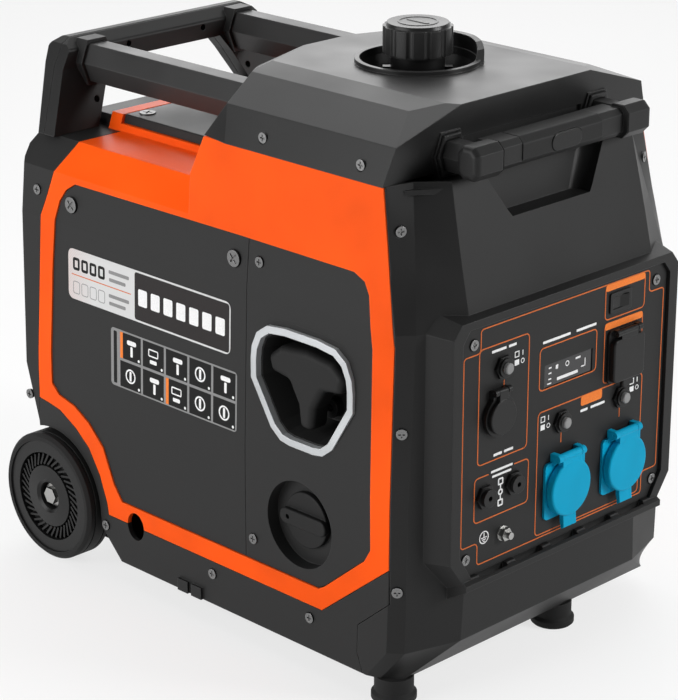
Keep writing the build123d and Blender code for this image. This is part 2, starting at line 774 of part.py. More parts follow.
# ---- carry handle: rear and front shells bolted together ----
handle_outer = [(148, deck_z), (112, 465), (103, 470), (-103, 470), (-112, 465),
                (-148, deck_z)]
handle_opening = [(99, deck_z - 5), (76, 430), (66, 445), (-66, 445), (-76, 430),
                  (-99, deck_z - 5)]
handle_profile = [(-236, deck_z), (-257, 448), (-260, 462), (-252, 470), (-243, 470),
                  (-231, 461), (-231, 445), (-214, deck_z)]
with BuildPart() as handle_body:
    with BuildSketch(face_on(-300)):
        with BuildLine():
            Polyline(*handle_outer, close=True)
        make_face()
        with BuildLine():
            Polyline(*handle_opening, close=True)
        make_face(mode=Mode.SUBTRACT)
    extrude(amount=100)
    with BuildSketch(side(220)):
        with BuildLine():
            Polyline(*handle_profile, close=True)
        make_face()
        fillet(vertices().sort_by(Axis.Y)[2:], radius=4)
    extrude(amount=440, mode=Mode.INTERSECT)
rear_half = prism([(-227 - seam / 2, deck_z - 5), (-243 - seam / 2, 446), (-243 - seam / 2, 480),
                   (-300, 480), (-300, deck_z - 5)], side(220), 440)
front_half = prism([(-227 + seam / 2, deck_z - 5), (-243 + seam / 2, 446),
                    (-243 + seam / 2, 480), (-180, 480), (-180, deck_z - 5)], side(220), 440)
with BuildPart() as carry_handle_rear:
    add(handle_body.part)
    add(rear_half, mode=Mode.INTERSECT)
save(carry_handle_rear, "carry_handle_rear")
with BuildPart() as carry_handle_front:
    add(handle_body.part)
    add(front_half, mode=Mode.INTERSECT)
    add(hex_pair(hexagon(10.6, 18.2, 20.4), -238, -223))
    add(hex_pair(rail_section, -234, -210, grow=0.2), mode=Mode.SUBTRACT)
    for x, y, z in handle_screws:
        with BuildSketch(face_on(x - 0.1)):
            with Locations((y, z), (-y, z)):
                Circle(3.0)
        extrude(amount=40, mode=Mode.SUBTRACT)
save(carry_handle_front, "carry_handle_front")

# ---- six-sided side rails: they carry the load and guide the sliding tubes ----
rail_x0, rail_x1 = -233.8, 186.0
with BuildPart() as side_rails:
    add(hex_pair(rail_section, rail_x0, rail_x1))
    add(hex_pair(tube_section, rail_x0 + 4, rail_x1 + 10, grow=slack), mode=Mode.SUBTRACT)
save(side_rails, "side_rails")

# ---- service cover over the air box, held by one lock screw ----
with BuildPart() as service_cover:
    with BuildSketch(Plane.XY.offset(service_floor_z + 0.2)):
        with Locations((-124, 0)):
            Rectangle(131, 175)
    with BuildSketch(Plane.XY.offset(deck_z + 14)):
        with Locations((-124, 0)):
            Rectangle(131, 172)
    loft(ruled=True)
    chamfer(service_cover.edges().group_by(Axis.Z)[-1], length=0.8)
    with BuildSketch(Plane.XY.offset(deck_z + 12.6)):
        with Locations((-178, -70)):
            Circle(7.6)
    extrude(amount=5, mode=Mode.SUBTRACT)
    with BuildSketch(Plane.XY.offset(service_floor_z - 1)):
        with Locations((-178, -70)):
            Circle(4.2)
    extrude(amount=20, mode=Mode.SUBTRACT)
save(service_cover, "service_cover")

# ---- control panel ----
panel_t = 3.0
front_plane = face_on(panel_x - panel_t)
usb_c = (72.5, 256)
dc_c = (-84, 244)
breaker_yz = {"dc": (-78, 283), "ac_left": (-4.6, 216), "ac_right": (71.3, 217)}
port_yz = [(-97, 177), (-62.5, 179)]
display_c = (3, 259.5)
eco_c = (66, 303)
eco_axis_x = panel_x - 4.0
stud_c = (-74, 138)
with BuildPart() as control_panel:
    with BuildSketch(front_plane):
        with BuildLine():
            Polyline(*panel_outline, close=True)
        make_face()
        offset(amount=-seam / 2, kind=Kind.INTERSECTION)
        with Locations(*[(y, ac_z) for y in ac_y]):
            Circle(socket_r + 1.8, mode=Mode.SUBTRACT)
        with Locations(display_c):
            Rectangle(60, 20.5, mode=Mode.SUBTRACT)
        with Locations(eco_c):
            Rectangle(24, 15, mode=Mode.SUBTRACT)
        with Locations(usb_c):
            Rectangle(34, 40, mode=Mode.SUBTRACT)
        with Locations(dc_c):
            Circle(14, mode=Mode.SUBTRACT)
        with Locations(*breaker_yz.values()):
            Circle(6, mode=Mode.SUBTRACT)
        with Locations(*port_yz):
            Circle(7, mode=Mode.SUBTRACT)
        with Locations(stud_c):
            Circle(3.1, mode=Mode.SUBTRACT)
    extrude(amount=panel_t)
    add(screw_seats.part, mode=Mode.SUBTRACT)
save(control_panel, "control_panel")

with BuildPart() as eco_switch:
    with BuildSketch(face_on(panel_x - 14)):
        with Locations(eco_c):
            Rectangle(23.6, 14.6)
            Rectangle(20, 11, mode=Mode.SUBTRACT)
    extrude(amount=14)
    with BuildSketch(face_on(panel_x - 14)):
        with Locations(eco_c):
            Rectangle(23.6, 14.6)
    extrude(amount=1.5)
    with BuildSketch(face_on(panel_x)):
        with Locations(eco_c):
            RectangleRounded(27, 18, 2)
            Rectangle(20, 11, mode=Mode.SUBTRACT)
    extrude(amount=1.6)
    with BuildSketch(Plane.XY.offset(eco_c[1] - 7.2)):
        with Locations((eco_axis_x, eco_c[0])):
            Circle(1.2 + running)
    extrude(amount=14.4, mode=Mode.SUBTRACT)
save(eco_switch, "eco_switch")
eco_r = 9.2
eco_tilt = 7.0
with BuildPart() as rocker_shape:
    # the rocker tilts about Z: its cap is a shallow V seen from above
    with BuildSketch(Plane.XY.offset(-5.1)):
        with BuildLine():
            Polyline((-3, 0), (1, -eco_r), (6.6, -eco_r), (5.0, 0), (6.6, eco_r), (1, eco_r),
                     close=True)
        make_face()
    extrude(amount=10.2)
    with BuildSketch(Plane.XY.offset(-6.9)):
        Circle(1.2)
    extrude(amount=13.8)
with BuildPart() as eco_rocker:
    add(rocker_shape.part.moved(Location((eco_axis_x, eco_c[0], eco_c[1]), (0, 0, -eco_tilt))))
save(eco_rocker, "eco_rocker")

with BuildPart() as usb_socket:
    with BuildSketch(face_on(panel_x - 18)):
        with Locations(usb_c):
            Rectangle(33.6, 39.6)
    extrude(amount=18)
    with BuildSketch(face_on(panel_x)):
        with Locations(usb_c):
            RectangleRounded(42, 47, 4)
    extrude(amount=2.5)
    with BuildSketch(face_on(panel_x - 10)):
        with Locations((usb_c[0] - 7, usb_c[1] - 2), (usb_c[0] + 7, usb_c[1] - 2)):
            Rectangle(5.6, 13)
    extrude(amount=20, mode=Mode.SUBTRACT)
    # hinge ears of the splash cap
    with BuildSketch(side(usb_c[0] + 16)):
        with Locations((panel_x + 5.5, usb_c[1] + 21)):
            Circle(3)
        with Locations((panel_x + 4, usb_c[1] + 21)):
            Rectangle(3, 6)
    extrude(amount=5)
    with BuildSketch(side(usb_c[0] - 11)):
        with Locations((panel_x + 5.5, usb_c[1] + 21)):
            Circle(3)
        with Locations((panel_x + 4, usb_c[1] + 21)):
            Rectangle(3, 6)
    extrude(amount=5)
    with BuildSketch(side(usb_c[0] + 20)):
        with Locations((panel_x + 5.5, usb_c[1] + 21)):
            Circle(1.2)
    extrude(amount=40, mode=Mode.SUBTRACT)
save(usb_socket, "usb_socket")
usb_hinge = (panel_x + 5.5, usb_c[1] + 21)
with BuildPart() as usb_cap:
    with BuildSketch(face_on(panel_x + 2.5 + slack)):
        with Locations((usb_c[0], usb_c[1] - 3)):
            RectangleRounded(40, 38, 5)
    extrude(amount=5.2)
    fillet(usb_cap.edges().group_by(Axis.X)[-1], radius=1.6)
    with BuildSketch(side(usb_c[0] + 10.6)):
        with Locations(usb_hinge):
            Circle(2.6)
        with Locations((usb_hinge[0], usb_hinge[1] - 4)):
            Rectangle(4, 8)
    extrude(amount=21.2)
    with BuildSketch(side(usb_c[0] + 15.8)):
        with Locations(usb_hinge):
            Circle(1.2 - running)
    extrude(amount=31.6)
    with BuildSketch(Plane.XY.offset(usb_c[1] - 27)):
        with Locations((panel_x + 5.4, usb_c[0])):
            RectangleRounded(4, 14, 1.5)
    extrude(amount=8)
save(usb_cap, "usb_cap")

with BuildPart() as display:
    with BuildSketch(face_on(panel_x - 12)):
        with Locations(display_c):
            Rectangle(59.4, 20)
    extrude(amount=11.2)
save(display, "display")

collar_h = 5.0
breaker_labels = {"dc": "dc_breaker_button", "ac_left": "ac_breaker_left_button",
                  "ac_right": "ac_breaker_right_button"}
with BuildPart() as breaker_collars:
    for c in breaker_yz.values():
        with BuildSketch(face_on(panel_x)):
            with Locations(c):
                RegularPolygon(10.2, 6)
                Circle(4.9, mode=Mode.SUBTRACT)
        extrude(amount=2.6)
        with BuildSketch(face_on(panel_x)):
            with Locations(c):
                Circle(8)
                Circle(4.9, mode=Mode.SUBTRACT)
        extrude(amount=collar_h)
        with BuildSketch(face_on(panel_x - 22)):
            with Locations(c):
                Circle(5.8)
                Circle(4.9, mode=Mode.SUBTRACT)
        extrude(amount=22)
        with BuildSketch(face_on(panel_x - 24)):
            with Locations(c):
                Circle(7.5)
        extrude(amount=2)
save(breaker_collars, "breaker_collars")
for name, c in breaker_yz.items():
    with BuildPart() as button:
        with BuildSketch(face_on(panel_x - 14)):
            with Locations(c):
                Circle(4.9 - slack)
        extrude(amount=14 + collar_h + 3.2)
        chamfer(button.edges().group_by(Axis.X)[-1], length=0.8)
    save(button, breaker_labels[name])

# ---- 12 V socket with a hinged round cap ----
with BuildPart() as dc_socket:
    with BuildSketch(face_on(panel_x)):
        with Locations(dc_c):
            Circle(17.5)
            Circle(10.6, mode=Mode.SUBTRACT)
    extrude(amount=4.5)
    with BuildSketch(face_on(panel_x - 34)):
        with Locations(dc_c):
            Circle(13.6)
    extrude(amount=34)
    with BuildSketch(face_on(panel_x - 30)):
        with Locations(dc_c):
            Circle(10.6)
    extrude(amount=50, mode=Mode.SUBTRACT)
    for y in (dc_c[0] - 5.6, dc_c[0] + 9.6):
        with BuildSketch(side(y)):
            with Locations((panel_x + 5, dc_c[1] + 21.2)):
                Circle(3)
            with Locations((panel_x + 2.5, dc_c[1] + 19)):
                Rectangle(5, 8)
        extrude(amount=4)
    with BuildSketch(side(dc_c[0] + 14)):
        with Locations((panel_x + 5, dc_c[1] + 21.2)):
            Circle(1.2)
    extrude(amount=28, mode=Mode.SUBTRACT)
save(dc_socket, "dc_socket")
dc_hinge = (panel_x + 5, dc_c[1] + 21.2)
with BuildPart() as dc_cap:
    with BuildSketch(face_on(panel_x + 4.5 + slack)):
        with Locations(dc_c):
            Circle(15.0)
    extrude(amount=3.4)
    fillet(dc_cap.edges().group_by(Axis.X)[-1], radius=1.0)
    with BuildSketch(face_on(panel_x + 4.5)):
        with Locations(dc_c):
            Circle(9.6)
    extrude(amount=1.8, mode=Mode.SUBTRACT)
    with BuildSketch(side(dc_c[0] + 5)):
        with Locations(dc_hinge):
            Circle(2.8)
        with BuildLine():
            Polyline((dc_hinge[0], dc_hinge[1] - 2.6), (dc_hinge[0] + 2.8, dc_hinge[1]),
                     (dc_hinge[0] + 2.8, dc_c[1] + 12), (dc_hinge[0], dc_c[1] + 12), close=True)
        make_face()
    extrude(amount=10)
    with BuildSketch(side(dc_c[0] + 9.2)):
        with Locations(dc_hinge):
            Circle(1.2 - running)
    extrude(amount=18.4)
save(dc_cap, "dc_cap")

# ---- two AC sockets with sprung lids ----
lid_hinge = (panel_x + 7.2, ac_z + 29)
lid_front = 265.0
with BuildPart() as ac_sockets:
    for y in ac_y:
        with BuildSketch(face_on(panel_x)):
            with Locations((y, ac_z)):
                RectangleRounded(socket_flange, socket_flange, 4)
        extrude(amount=2.2)
        with BuildSketch(face_on(panel_x)):
            with Locations((y, ac_z)):
                Circle(socket_r + 2.5)
        extrude(amount=3.4)
        with BuildSketch(face_on(panel_x - 22)):
            with Locations((y, ac_z)):
                Circle(socket_r + 1.4)
        extrude(amount=22)
        with BuildSketch(face_on(panel_x - 14)):
            with Locations((y, ac_z)):
                Circle(socket_r)
        extrude(amount=30, mode=Mode.SUBTRACT)
        with BuildSketch(face_on(panel_x - 20)):
            with Locations((y - 9.5, ac_z), (y + 9.5, ac_z)):
                Circle(2.6)
        extrude(amount=10, mode=Mode.SUBTRACT)
        for ear in (y + 17, y - 12):
            with BuildSketch(side(ear)):
                with Locations(lid_hinge):
                    Circle(3.6)
                with BuildLine():
                    Polyline((panel_x, ac_z + 22), (panel_x + 3, ac_z + 22),
                             (lid_hinge[0] + 3, lid_hinge[1]), (lid_hinge[0], lid_hinge[1] + 3.4),
                             (panel_x, lid_hinge[1] + 3.4), close=True)
                make_face()
            extrude(amount=5)
        with BuildSketch(side(y + 20)):
            with Locations(lid_hinge):
                Circle(1.5)
        extrude(amount=40, mode=Mode.SUBTRACT)
save(ac_sockets, "ac_sockets")
for name, y in zip(("left", "right"), ac_y):
    with BuildPart() as lid_disc:
        with BuildSketch(face_on(panel_x + 3.4 + slack)):
            with Locations((y, ac_z)):
                Circle(socket_r + 4.2)
        extrude(amount=lid_front - panel_x - 3.4 - slack)
        fillet(lid_disc.edges().group_by(Axis.X)[-1], radius=2.0)
        # hollow back with the ring that presses on the mouth
        with BuildSketch(face_on(panel_x + 3)):
            with Locations((y, ac_z)):
                Circle(socket_r - 3)
        extrude(amount=3.0, mode=Mode.SUBTRACT)
    with BuildPart() as ac_lid:
        add(lid_disc.part)
        # hinge knuckle between the ears, and its pin
        with BuildSketch(side(y + 11.6)):
            with Locations(lid_hinge):
                Circle(3.4)
            with BuildLine():
                Polyline((lid_hinge[0] - 2.2, lid_hinge[1]), (lid_hinge[0] + 2.6, lid_hinge[1]),
                         (lid_hinge[0] + 2.6, ac_z + 20), (lid_hinge[0] - 2.2, ac_z + 20),
                         close=True)
            make_face()
        extrude(amount=23.2)
        with BuildSketch(side(y + 16.8)):
            with Locations(lid_hinge):
                Circle(1.5 - running)
        extrude(amount=33.6)
        # finger tab
        with BuildSketch(side(y + 8)):
            with BuildLine():
                Polyline((panel_x + 4.4, ac_z - 22), (lid_front - 2, ac_z - 22),
                         (lid_front - 1, ac_z - 34), (lid_front - 4, ac_z - 36),
                         (panel_x + 4.4, ac_z - 27), close=True)
            make_face()
        extrude(amount=16)
    save(ac_lid, "ac_lid_" + name)

# ---- parallel ports and earth stud ----
with BuildPart() as parallel_ports:
    for c in port_yz:
        with BuildSketch(face_on(panel_x)):
            with Locations(c):
                RegularPolygon(10.5, 6)
        extrude(amount=3)
        with BuildSketch(face_on(panel_x)):
            with Locations(c):
                Circle(7.6)
        extrude(amount=7)
        with BuildSketch(face_on(panel_x - 20)):
            with Locations(c):
                Circle(6.6)
        extrude(amount=20)
        with BuildSketch(face_on(panel_x - 6)):
            with Locations(c):
                Circle(2.2)
        extrude(amount=20, mode=Mode.SUBTRACT)
save(parallel_ports, "parallel_ports")
stud_r = 3.0
stud_len = 9.0
with BuildPart() as earth_terminal:
    with BuildSketch(face_on(panel_x - 8)):
        with Locations(stud_c):
            Circle(stud_r)
    extrude(amount=9)
    with BuildSketch(face_on(panel_x)):
        with Locations(stud_c):
            Circle(6.4)
    extrude(amount=0.9)
    with BuildSketch(face_on(panel_x + 0.9)):
        with Locations(stud_c):
            RegularPolygon(5.8, 6)
    extrude(amount=4.6)
    with BuildSketch(face_on(panel_x)):
        with Locations(stud_c):
            Circle(stud_r)
    extrude(amount=stud_len + 0.9)
save(earth_terminal, "earth_terminal")

# ---- telescopic pull handle ----
tube_x0 = -215.0
tube_x1 = 238.0
with BuildPart() as handle_sockets:
    add(hex_pair(collar_section, rail_x1 + 0.6, 207))
    add(hex_pair(tube_section, 150, 230, grow=slack), mode=Mode.SUBTRACT)
    chamfer(handle_sockets.edges().group_by(Axis.X)[-1], length=0.8)
save(handle_sockets, "handle_sockets")
with BuildPart() as handle_tubes:
    add(hex_pair(tube_section, tube_x0, tube_x1))
    add(hex_pair(tube_section, tube_x0 - 5, tube_x1 - 6, grow=-2.0), mode=Mode.SUBTRACT)
save(handle_tubes, "handle_tubes")


def bar_outline(x0, x1, z0, z1, cut):
    return [(x0 + cut, z0), (x1 - cut, z0), (x1, z0 + cut), (x1, z1 - cut), (x1 - cut, z1),
            (x0 + cut, z1), (x0, z1 - cut), (x0, z0 + cut)]


end_block = prism(bar_outline(226, 248.6, 436.8, 464.4, 6), side(106), 31)
end_cuff = prism(bar_outline(216.5, 243.6, 438.6, 462, 4.5), side(75.1), 26.5)
with BuildPart() as end_pair:
    add(end_block)
    fillet(end_pair.edges().group_by(Axis.Y)[-1], radius=5)
    add(end_cuff)
with BuildPart() as handle_crossbar:
    add(mirrored(end_pair.part))
    with BuildSketch(side(50)):
        with Locations((230, 450.3)):
            Circle(8)
    extrude(amount=100)
    add(hex_pair(tube_section, 150, tube_x1, grow=0.1), mode=Mode.SUBTRACT)
    # groove between cuff and block
    add(prism(bar_outline(200, 260, 425, 475, 2), side(76.2), 1.0), mode=Mode.SUBTRACT)
    add(prism(bar_outline(200, 260, 425, 475, 2), side(-75.2), 1.0), mode=Mode.SUBTRACT)
    add(prism(bar_outline(227.5, 242.6, 439.6, 461, 4), side(76.3), 152.6))
    add(prism(bar_outline(210, 250, 430, 470, 4), side(48.6), 97.2), mode=Mode.SUBTRACT)
    with BuildSketch(side(50)):
        with Locations((230, 450.3)):
            Circle(8)
    extrude(amount=100)
save(handle_crossbar, "handle_crossbar")
button_yz = (4.0, 450.5)
with BuildPart() as handle_grip:
    with BuildSketch(side(48.3)):
        with BuildLine():
            Polyline(*bar_outline(216, 244.4, 438.4, 462.4, 5.5), close=True)
        make_face()
        fillet(vertices(), radius=3)
        with Locations((230, 450.3)):
            Circle(8.05, mode=Mode.SUBTRACT)
    extrude(amount=96.6)
    with BuildSketch(face_on(238.6)):
        with Locations(button_yz):
            SlotOverall(37, 15)
    extrude(amount=20, mode=Mode.SUBTRACT)
save(handle_grip, "handle_grip")
with BuildPart() as handle_button:
    with BuildSketch(face_on(241.8)):
        with Locations(button_yz):
            SlotOverall(37 - 2 * slack, 15 - 2 * slack)
    extrude(amount=3.4)
    fillet(handle_button.edges().group_by(Axis.X)[-1], radius=0.8)
save(handle_button, "handle_button")

# ---- fuel tank, filler neck and cap ----
tank_top = 421.0
neck_r = 22.5
neck_top = 503.0
with BuildPart() as tank_shape:
    with BuildSketch(Plane.XY.offset(338)):
        with Locations((82, 0)):
            Rectangle(180, 232)
    extrude(amount=tank_top - 338)
    fillet(tank_shape.edges(), radius=14)
with BuildPart() as fuel_tank:
    add(tank_shape.part)
    with BuildSketch(Plane.XY.offset(404)):
        with Locations((82, 0)):
            Rectangle(120, 2 * half_width - 33.4)
    extrude(amount=3)
    with BuildSketch(Plane.XY.offset(tank_top - 4)):
        with Locations((filler_x, 0)):
            Circle(neck_r)
    extrude(amount=neck_top - tank_top + 4)
    with BuildSketch(Plane.XY.offset(neck_top - 25)):
        with Locations((filler_x, 0)):
            Rectangle(58, 7, rotation=45)
    extrude(amount=5)
    with BuildSketch(Plane.XY.offset(350)):
        with Locations((filler_x, 0)):
            Circle(neck_r - 3.5)
    extrude(amount=200, mode=Mode.SUBTRACT)
save(fuel_tank, "fuel_tank")
cap_z0, cap_z1 = neck_top - 10.0, neck_top + 17.4
lobes = 12
with BuildPart() as fuel_cap_insert:
    with BuildSketch(Plane.XY.offset(neck_top - 15)):
        with Locations((filler_x, 0)):
            Circle(neck_r - 3.5 - slack)
    extrude(amount=15 + slack)
    with BuildSketch(Plane.XY.offset(neck_top + slack)):
        with Locations((filler_x, 0)):
            Circle(neck_r - 0.6)
    extrude(amount=2.4)
    with BuildSketch(Plane.XY.offset(neck_top)):
        with Locations((filler_x, 0)):
            Circle(3)
    extrude(amount=9)
save(fuel_cap_insert, "fuel_cap_insert")
with BuildPart() as fuel_cap:
    with BuildSketch(Plane.XY.offset(cap_z0 + 2)):
        with Locations((filler_x, 0)):
            Circle(cap_r - 0.8)
            with PolarLocations(cap_r + 2.0, lobes):
                Circle(4.2, mode=Mode.SUBTRACT)
    extrude(amount=cap_z1 - cap_z0 - 5)
    with BuildSketch(Plane.XY.offset(cap_z0)):
        with Locations((filler_x, 0)):
            Circle(cap_r - 4.6)
    extrude(amount=4)
    with BuildSketch(Plane.XY.offset(cap_z1 - 3)):
        with Locations((filler_x, 0)):
            Circle(cap_r - 3.4)
    extrude(amount=3, taper=18)
    with BuildSketch(Plane.XY.offset(cap_z0 - 1)):
        with Locations((filler_x, 0)):
            Circle(neck_r + 0.6)
    extrude(amount=neck_top + 2 * slack + 2.4 - cap_z0 + 1, mode=Mode.SUBTRACT)
    with BuildSketch(Plane.XY.offset(neck_top)):
        with Locations((filler_x, 0)):
            Circle(3 + running)
    extrude(amount=9.4, mode=Mode.SUBTRACT)
    # grip bar moulded on the cap top
    with BuildSketch(Plane.XY.offset(cap_z1 - 0.4)):
        with Locations((filler_x, 0)):
            Circle(17)
            Circle(15.4, mode=Mode.SUBTRACT)
            SlotOverall(24, 5)
    extrude(amount=0.8)
save(fuel_cap, "fuel_cap")

# ---- recoil starter ----
grip_front = -half_width + 5.5
grip_back = grip_front + 20
grip_half = [(0, 282.5), (30, 279), (44, 268), (40, 255), (20, 252), (9.5, 234), (7, 214)]
grip_outline = [(pull_x + u, z) for u, z in grip_half]
grip_outline = grip_outline + [(pull_x - u, z) for u, z in reversed(grip_half[1:])]
with BuildPart() as starter_handle:
    with BuildSketch(side(grip_back)):
        with BuildLine():
            Polyline(*grip_outline, close=True)
        make_face()
        fillet(vertices(), radius=6)
    extrude(amount=20)
    fillet(starter_handle.edges().group_by(Axis.Y)[0], radius=6)
    fillet(starter_handle.edges().group_by(Axis.Y)[-1], radius=4)
    with BuildSketch(side(grip_back + 1)):
        with Locations((pull_x, 226)):
            Circle(2.7)
    extrude(amount=9, mode=Mode.SUBTRACT)
save(starter_handle, "starter_handle")

pulley_r = 52.0
pulley_x = pull_x - pulley_r
pulley_z = 198.0
pulley_y = -half_width + 56.5
rope_r = 2.2
with BuildPart() as starter_rope:
    with BuildLine():
        Line((pull_x, grip_back - 7, 226), (pull_x, pulley_y - 11, 226))
        ThreePointArc((pull_x, pulley_y - 11, 226),
                      (pull_x, pulley_y - 11 + 11 * math.sin(math.pi / 4),
                       226 - 11 * (1 - math.cos(math.pi / 4))),
                      (pull_x, pulley_y, 215))
        Line((pull_x, pulley_y, 215), (pull_x, pulley_y, pulley_z))
    with BuildSketch(Plane(origin=(pull_x, grip_back - 7, 226), z_dir=(0, 1, 0))):
        Circle(rope_r)
    sweep()
save(starter_rope, "starter_rope")
with BuildPart() as pulley_shape:
    with BuildSketch(Plane.XY):
        with BuildLine():
            Polyline((6 + running, -4.5), (54, -4.5), (54, -3.6), (49.6, -2.6), (49.6, 2.6),
                     (54, 3.6), (54, 4.5), (6 + running, 4.5), close=True)
        make_face()
    revolve(axis=Axis.Y)
    with BuildSketch(side(10)):
        with PolarLocations(30, 6):
            Circle(9)
    extrude(amount=20, mode=Mode.SUBTRACT)
with BuildPart() as recoil_pulley:
    add(pulley_shape.part.moved(Location((pulley_x, pulley_y, pulley_z))))
save(recoil_pulley, "recoil_pulley")
shaft_c = (pulley_x, pulley_z)
recoil_back = pulley_y + 9.5
post_y = recoil_back + 12
with BuildPart() as recoil_housing:
    with BuildSketch(side(recoil_back)):
        with Locations(shaft_c):
            Circle(66)
    extrude(amount=3)
    with BuildSketch(side(recoil_back)):
        with Locations(shaft_c):
            Circle(66)
            Circle(62.5, mode=Mode.SUBTRACT)
    extrude(amount=17)
    with BuildSketch(side(recoil_back)):
        with Locations(shaft_c):
            Circle(6)
    extrude(amount=15)
    with BuildSketch(side(post_y)):
        with Locations(shaft_c):
            with PolarLocations(60, 3, start_angle=30):
                Circle(5)
    extrude(amount=13)
save(recoil_housing, "recoil_housing")

# ---- choke knob ----
with BuildPart() as choke_knob:
    with BuildSketch(side(dish_y - slack)):
        with Locations((choke_x, choke_z)):
            Circle(24.5)
    extrude(amount=4.7)
    fillet(choke_knob.edges().group_by(Axis.Y)[0], radius=1.2)
    with BuildSketch(side(dish_y - slack - 4)):
        with Locations((choke_x, choke_z)):
            SlotOverall(54, 14)
    extrude(amount=5.2)
    fillet(choke_knob.edges().group_by(Axis.Y)[0], radius=1.6)
    with BuildSketch(side(dish_y - slack)):
        with Locations((choke_x, choke_z)):
            Circle(5)
    extrude(amount=-9)
    with BuildSketch(side(-half_width)):
        with Locations((choke_x - 17, choke_z)):
            Circle(2.2)
    extrude(amount=8, mode=Mode.SUBTRACT)
    with BuildSketch(side(-half_width + 7)):
        with Locations((choke_x - 17, choke_z)):
            Circle(2.2)
    extrude(amount=8, mode=Mode.SUBTRACT)
save(choke_knob, "choke_knob")

# ---- wheels, axle, feet ----
wheel_y0 = half_width + 10 - wheel_w
fins = 38
with BuildPart() as hub_shape:
    with BuildSketch(Plane.XY):
        with BuildLine():
            Polyline((axle_r + running, wheel_y0), (20, wheel_y0), (22, wheel_y0 + 6),
                     (22, wheel_y0 + 9), (42, wheel_y0 + 9), (42, wheel_y0 + 1),
                     (wheel_r - 7, wheel_y0 + 1), (wheel_r - 7, wheel_y0 + wheel_w - 1.5),
                     (42, wheel_y0 + wheel_w - 1.5), (41, wheel_y0 + wheel_w - 7),
                     (30, wheel_y0 + wheel_w - 7), (29, wheel_y0 + wheel_w - 2),
                     (16, wheel_y0 + wheel_w - 1), (13, wheel_y0 + wheel_w - 3),
                     (13, wheel_y0 + wheel_w - 10), (axle_r + running, wheel_y0 + wheel_w - 10),
                     close=True)
        make_face()
    revolve(axis=Axis.Y)
    # swept fins between the hub disc and the rim
    with BuildSketch(side(wheel_y0 + wheel_w - 3)):
        with PolarLocations(35.2, fins):
            Rectangle(12.4, 2.0, rotation=35)
    extrude(amount=5)
with BuildPart() as tyre_shape:
    with BuildSketch(Plane.XY):
        with BuildLine():
            Polyline((wheel_r - 6.9, wheel_y0), (wheel_r - 3, wheel_y0), (wheel_r, wheel_y0 + 3),
                     (wheel_r, wheel_y0 + wheel_w - 3), (wheel_r - 3, wheel_y0 + wheel_w),
                     (wheel_r - 6.9, wheel_y0 + wheel_w), close=True)
        make_face()
    revolve(axis=Axis.Y)
    for y in (wheel_y0 + 8, wheel_y0 + wheel_w - 8):
        with BuildSketch(side(y + 0.8)):
            Circle(wheel_r + 1)
            Circle(wheel_r - 1.4, mode=Mode.SUBTRACT)
        extrude(amount=1.6, mode=Mode.SUBTRACT)
for name, flip in (("left", 1), ("right", 0)):
    turn = Location((wheel_x, 0, wheel_r), (0, 0, 180 * flip))
    for label, shape in (("hub_", hub_shape), ("tyre_", tyre_shape)):
        with BuildPart() as wheel_piece:
            add(shape.part.moved(turn))
        save(wheel_piece, label + name)
with BuildPart() as axle_half:
    with BuildSketch(side(1)):
        with Locations((wheel_x, wheel_r)):
            Circle(axle_r)
    extrude(amount=wheel_y0 + wheel_w - 8)
    with BuildSketch(side(-half_width + 23.6)):
        with Locations((wheel_x, wheel_r)):
            Circle(9)
    extrude(amount=wheel_y0 - slack - half_width + 23.6)
    with BuildSketch(side(-(wheel_y0 + wheel_w - 10 + slack))):
        with Locations((wheel_x, wheel_r)):
            Circle(11)
    extrude(amount=1.8)
    with BuildSketch(side(-(wheel_y0 + wheel_w - 8.4))):
        with Locations((wheel_x, wheel_r)):
            RegularPolygon(8, 6)
    extrude(amount=5.4)
with BuildPart() as axle:
    add(mirrored(axle_half.part))
save(axle, "axle")
feet_xy = [(208.5, -half_width + 19), (208.5, 48)]
with BuildPart() as foot:
    with BuildSketch(Plane.XZ):
        with BuildLine():
            Polyline((0, 0), (17.5, 0), (19, 1.5), (19, 6), (16.5, 9), (16.5, foot_h), (0, foot_h),
                     close=True)
        make_face()
    revolve(axis=Axis.Z)
with BuildPart() as front_feet:
    for x, y in feet_xy:
        add(foot.part.moved(Location((x, y, 0))))
save(front_feet, "front_feet")

# ---- machinery inside the housing ----
engine_z = pulley_z
with BuildPart() as engine_block:
    with BuildSketch(Plane.XY.offset(base_z + wall)):
        with Locations((pulley_x - 10, 5)):
            Rectangle(150, 120)
    extrude(amount=12)
    with BuildSketch(Plane.XY.offset(base_z + wall + 11)):
        with Locations((pulley_x - 10, 10)):
            Rectangle(120, 96)
    extrude(amount=engine_z + 20 - base_z - wall - 11)
    with BuildSketch(side(-37)):
        with Locations(shaft_c):
            Circle(58)
    extrude(amount=10)
    with BuildSketch(side(-46)):
        with Locations(shaft_c):
            Circle(9)
    extrude(amount=-46 - post_y - 2)
    with BuildSketch(side(-46)):
        with Locations(shaft_c):
            with PolarLocations(60, 3, start_angle=30):
                Circle(5)
    extrude(amount=-46 - post_y - slack)
save(engine_block, "engine_block")
with BuildPart() as rotor:
    with BuildSketch(side(-53)):
        with Locations(shaft_c):
            Circle(50)
            Circle(9 + running, mode=Mode.SUBTRACT)
    extrude(amount=28)
    with BuildSketch(side(-52)):
        with Locations(shaft_c):
            with PolarLocations(34, 8):
                Circle(6)
    extrude(amount=40, mode=Mode.SUBTRACT)
save(rotor, "rotor")
with BuildPart() as cylinder_head:
    for i in range(7):
        with BuildSketch(Plane.XY.offset(engine_z + 20.4 + 11 * i)):
            with Locations((pulley_x - 30, 10)):
                RectangleRounded(84 - 2 * i, 84 - 2 * i, 8)
        extrude(amount=4)
    with BuildSketch(Plane.XY.offset(engine_z + 20.4)):
        with Locations((pulley_x - 30, 10)):
            Circle(32)
    extrude(amount=78)
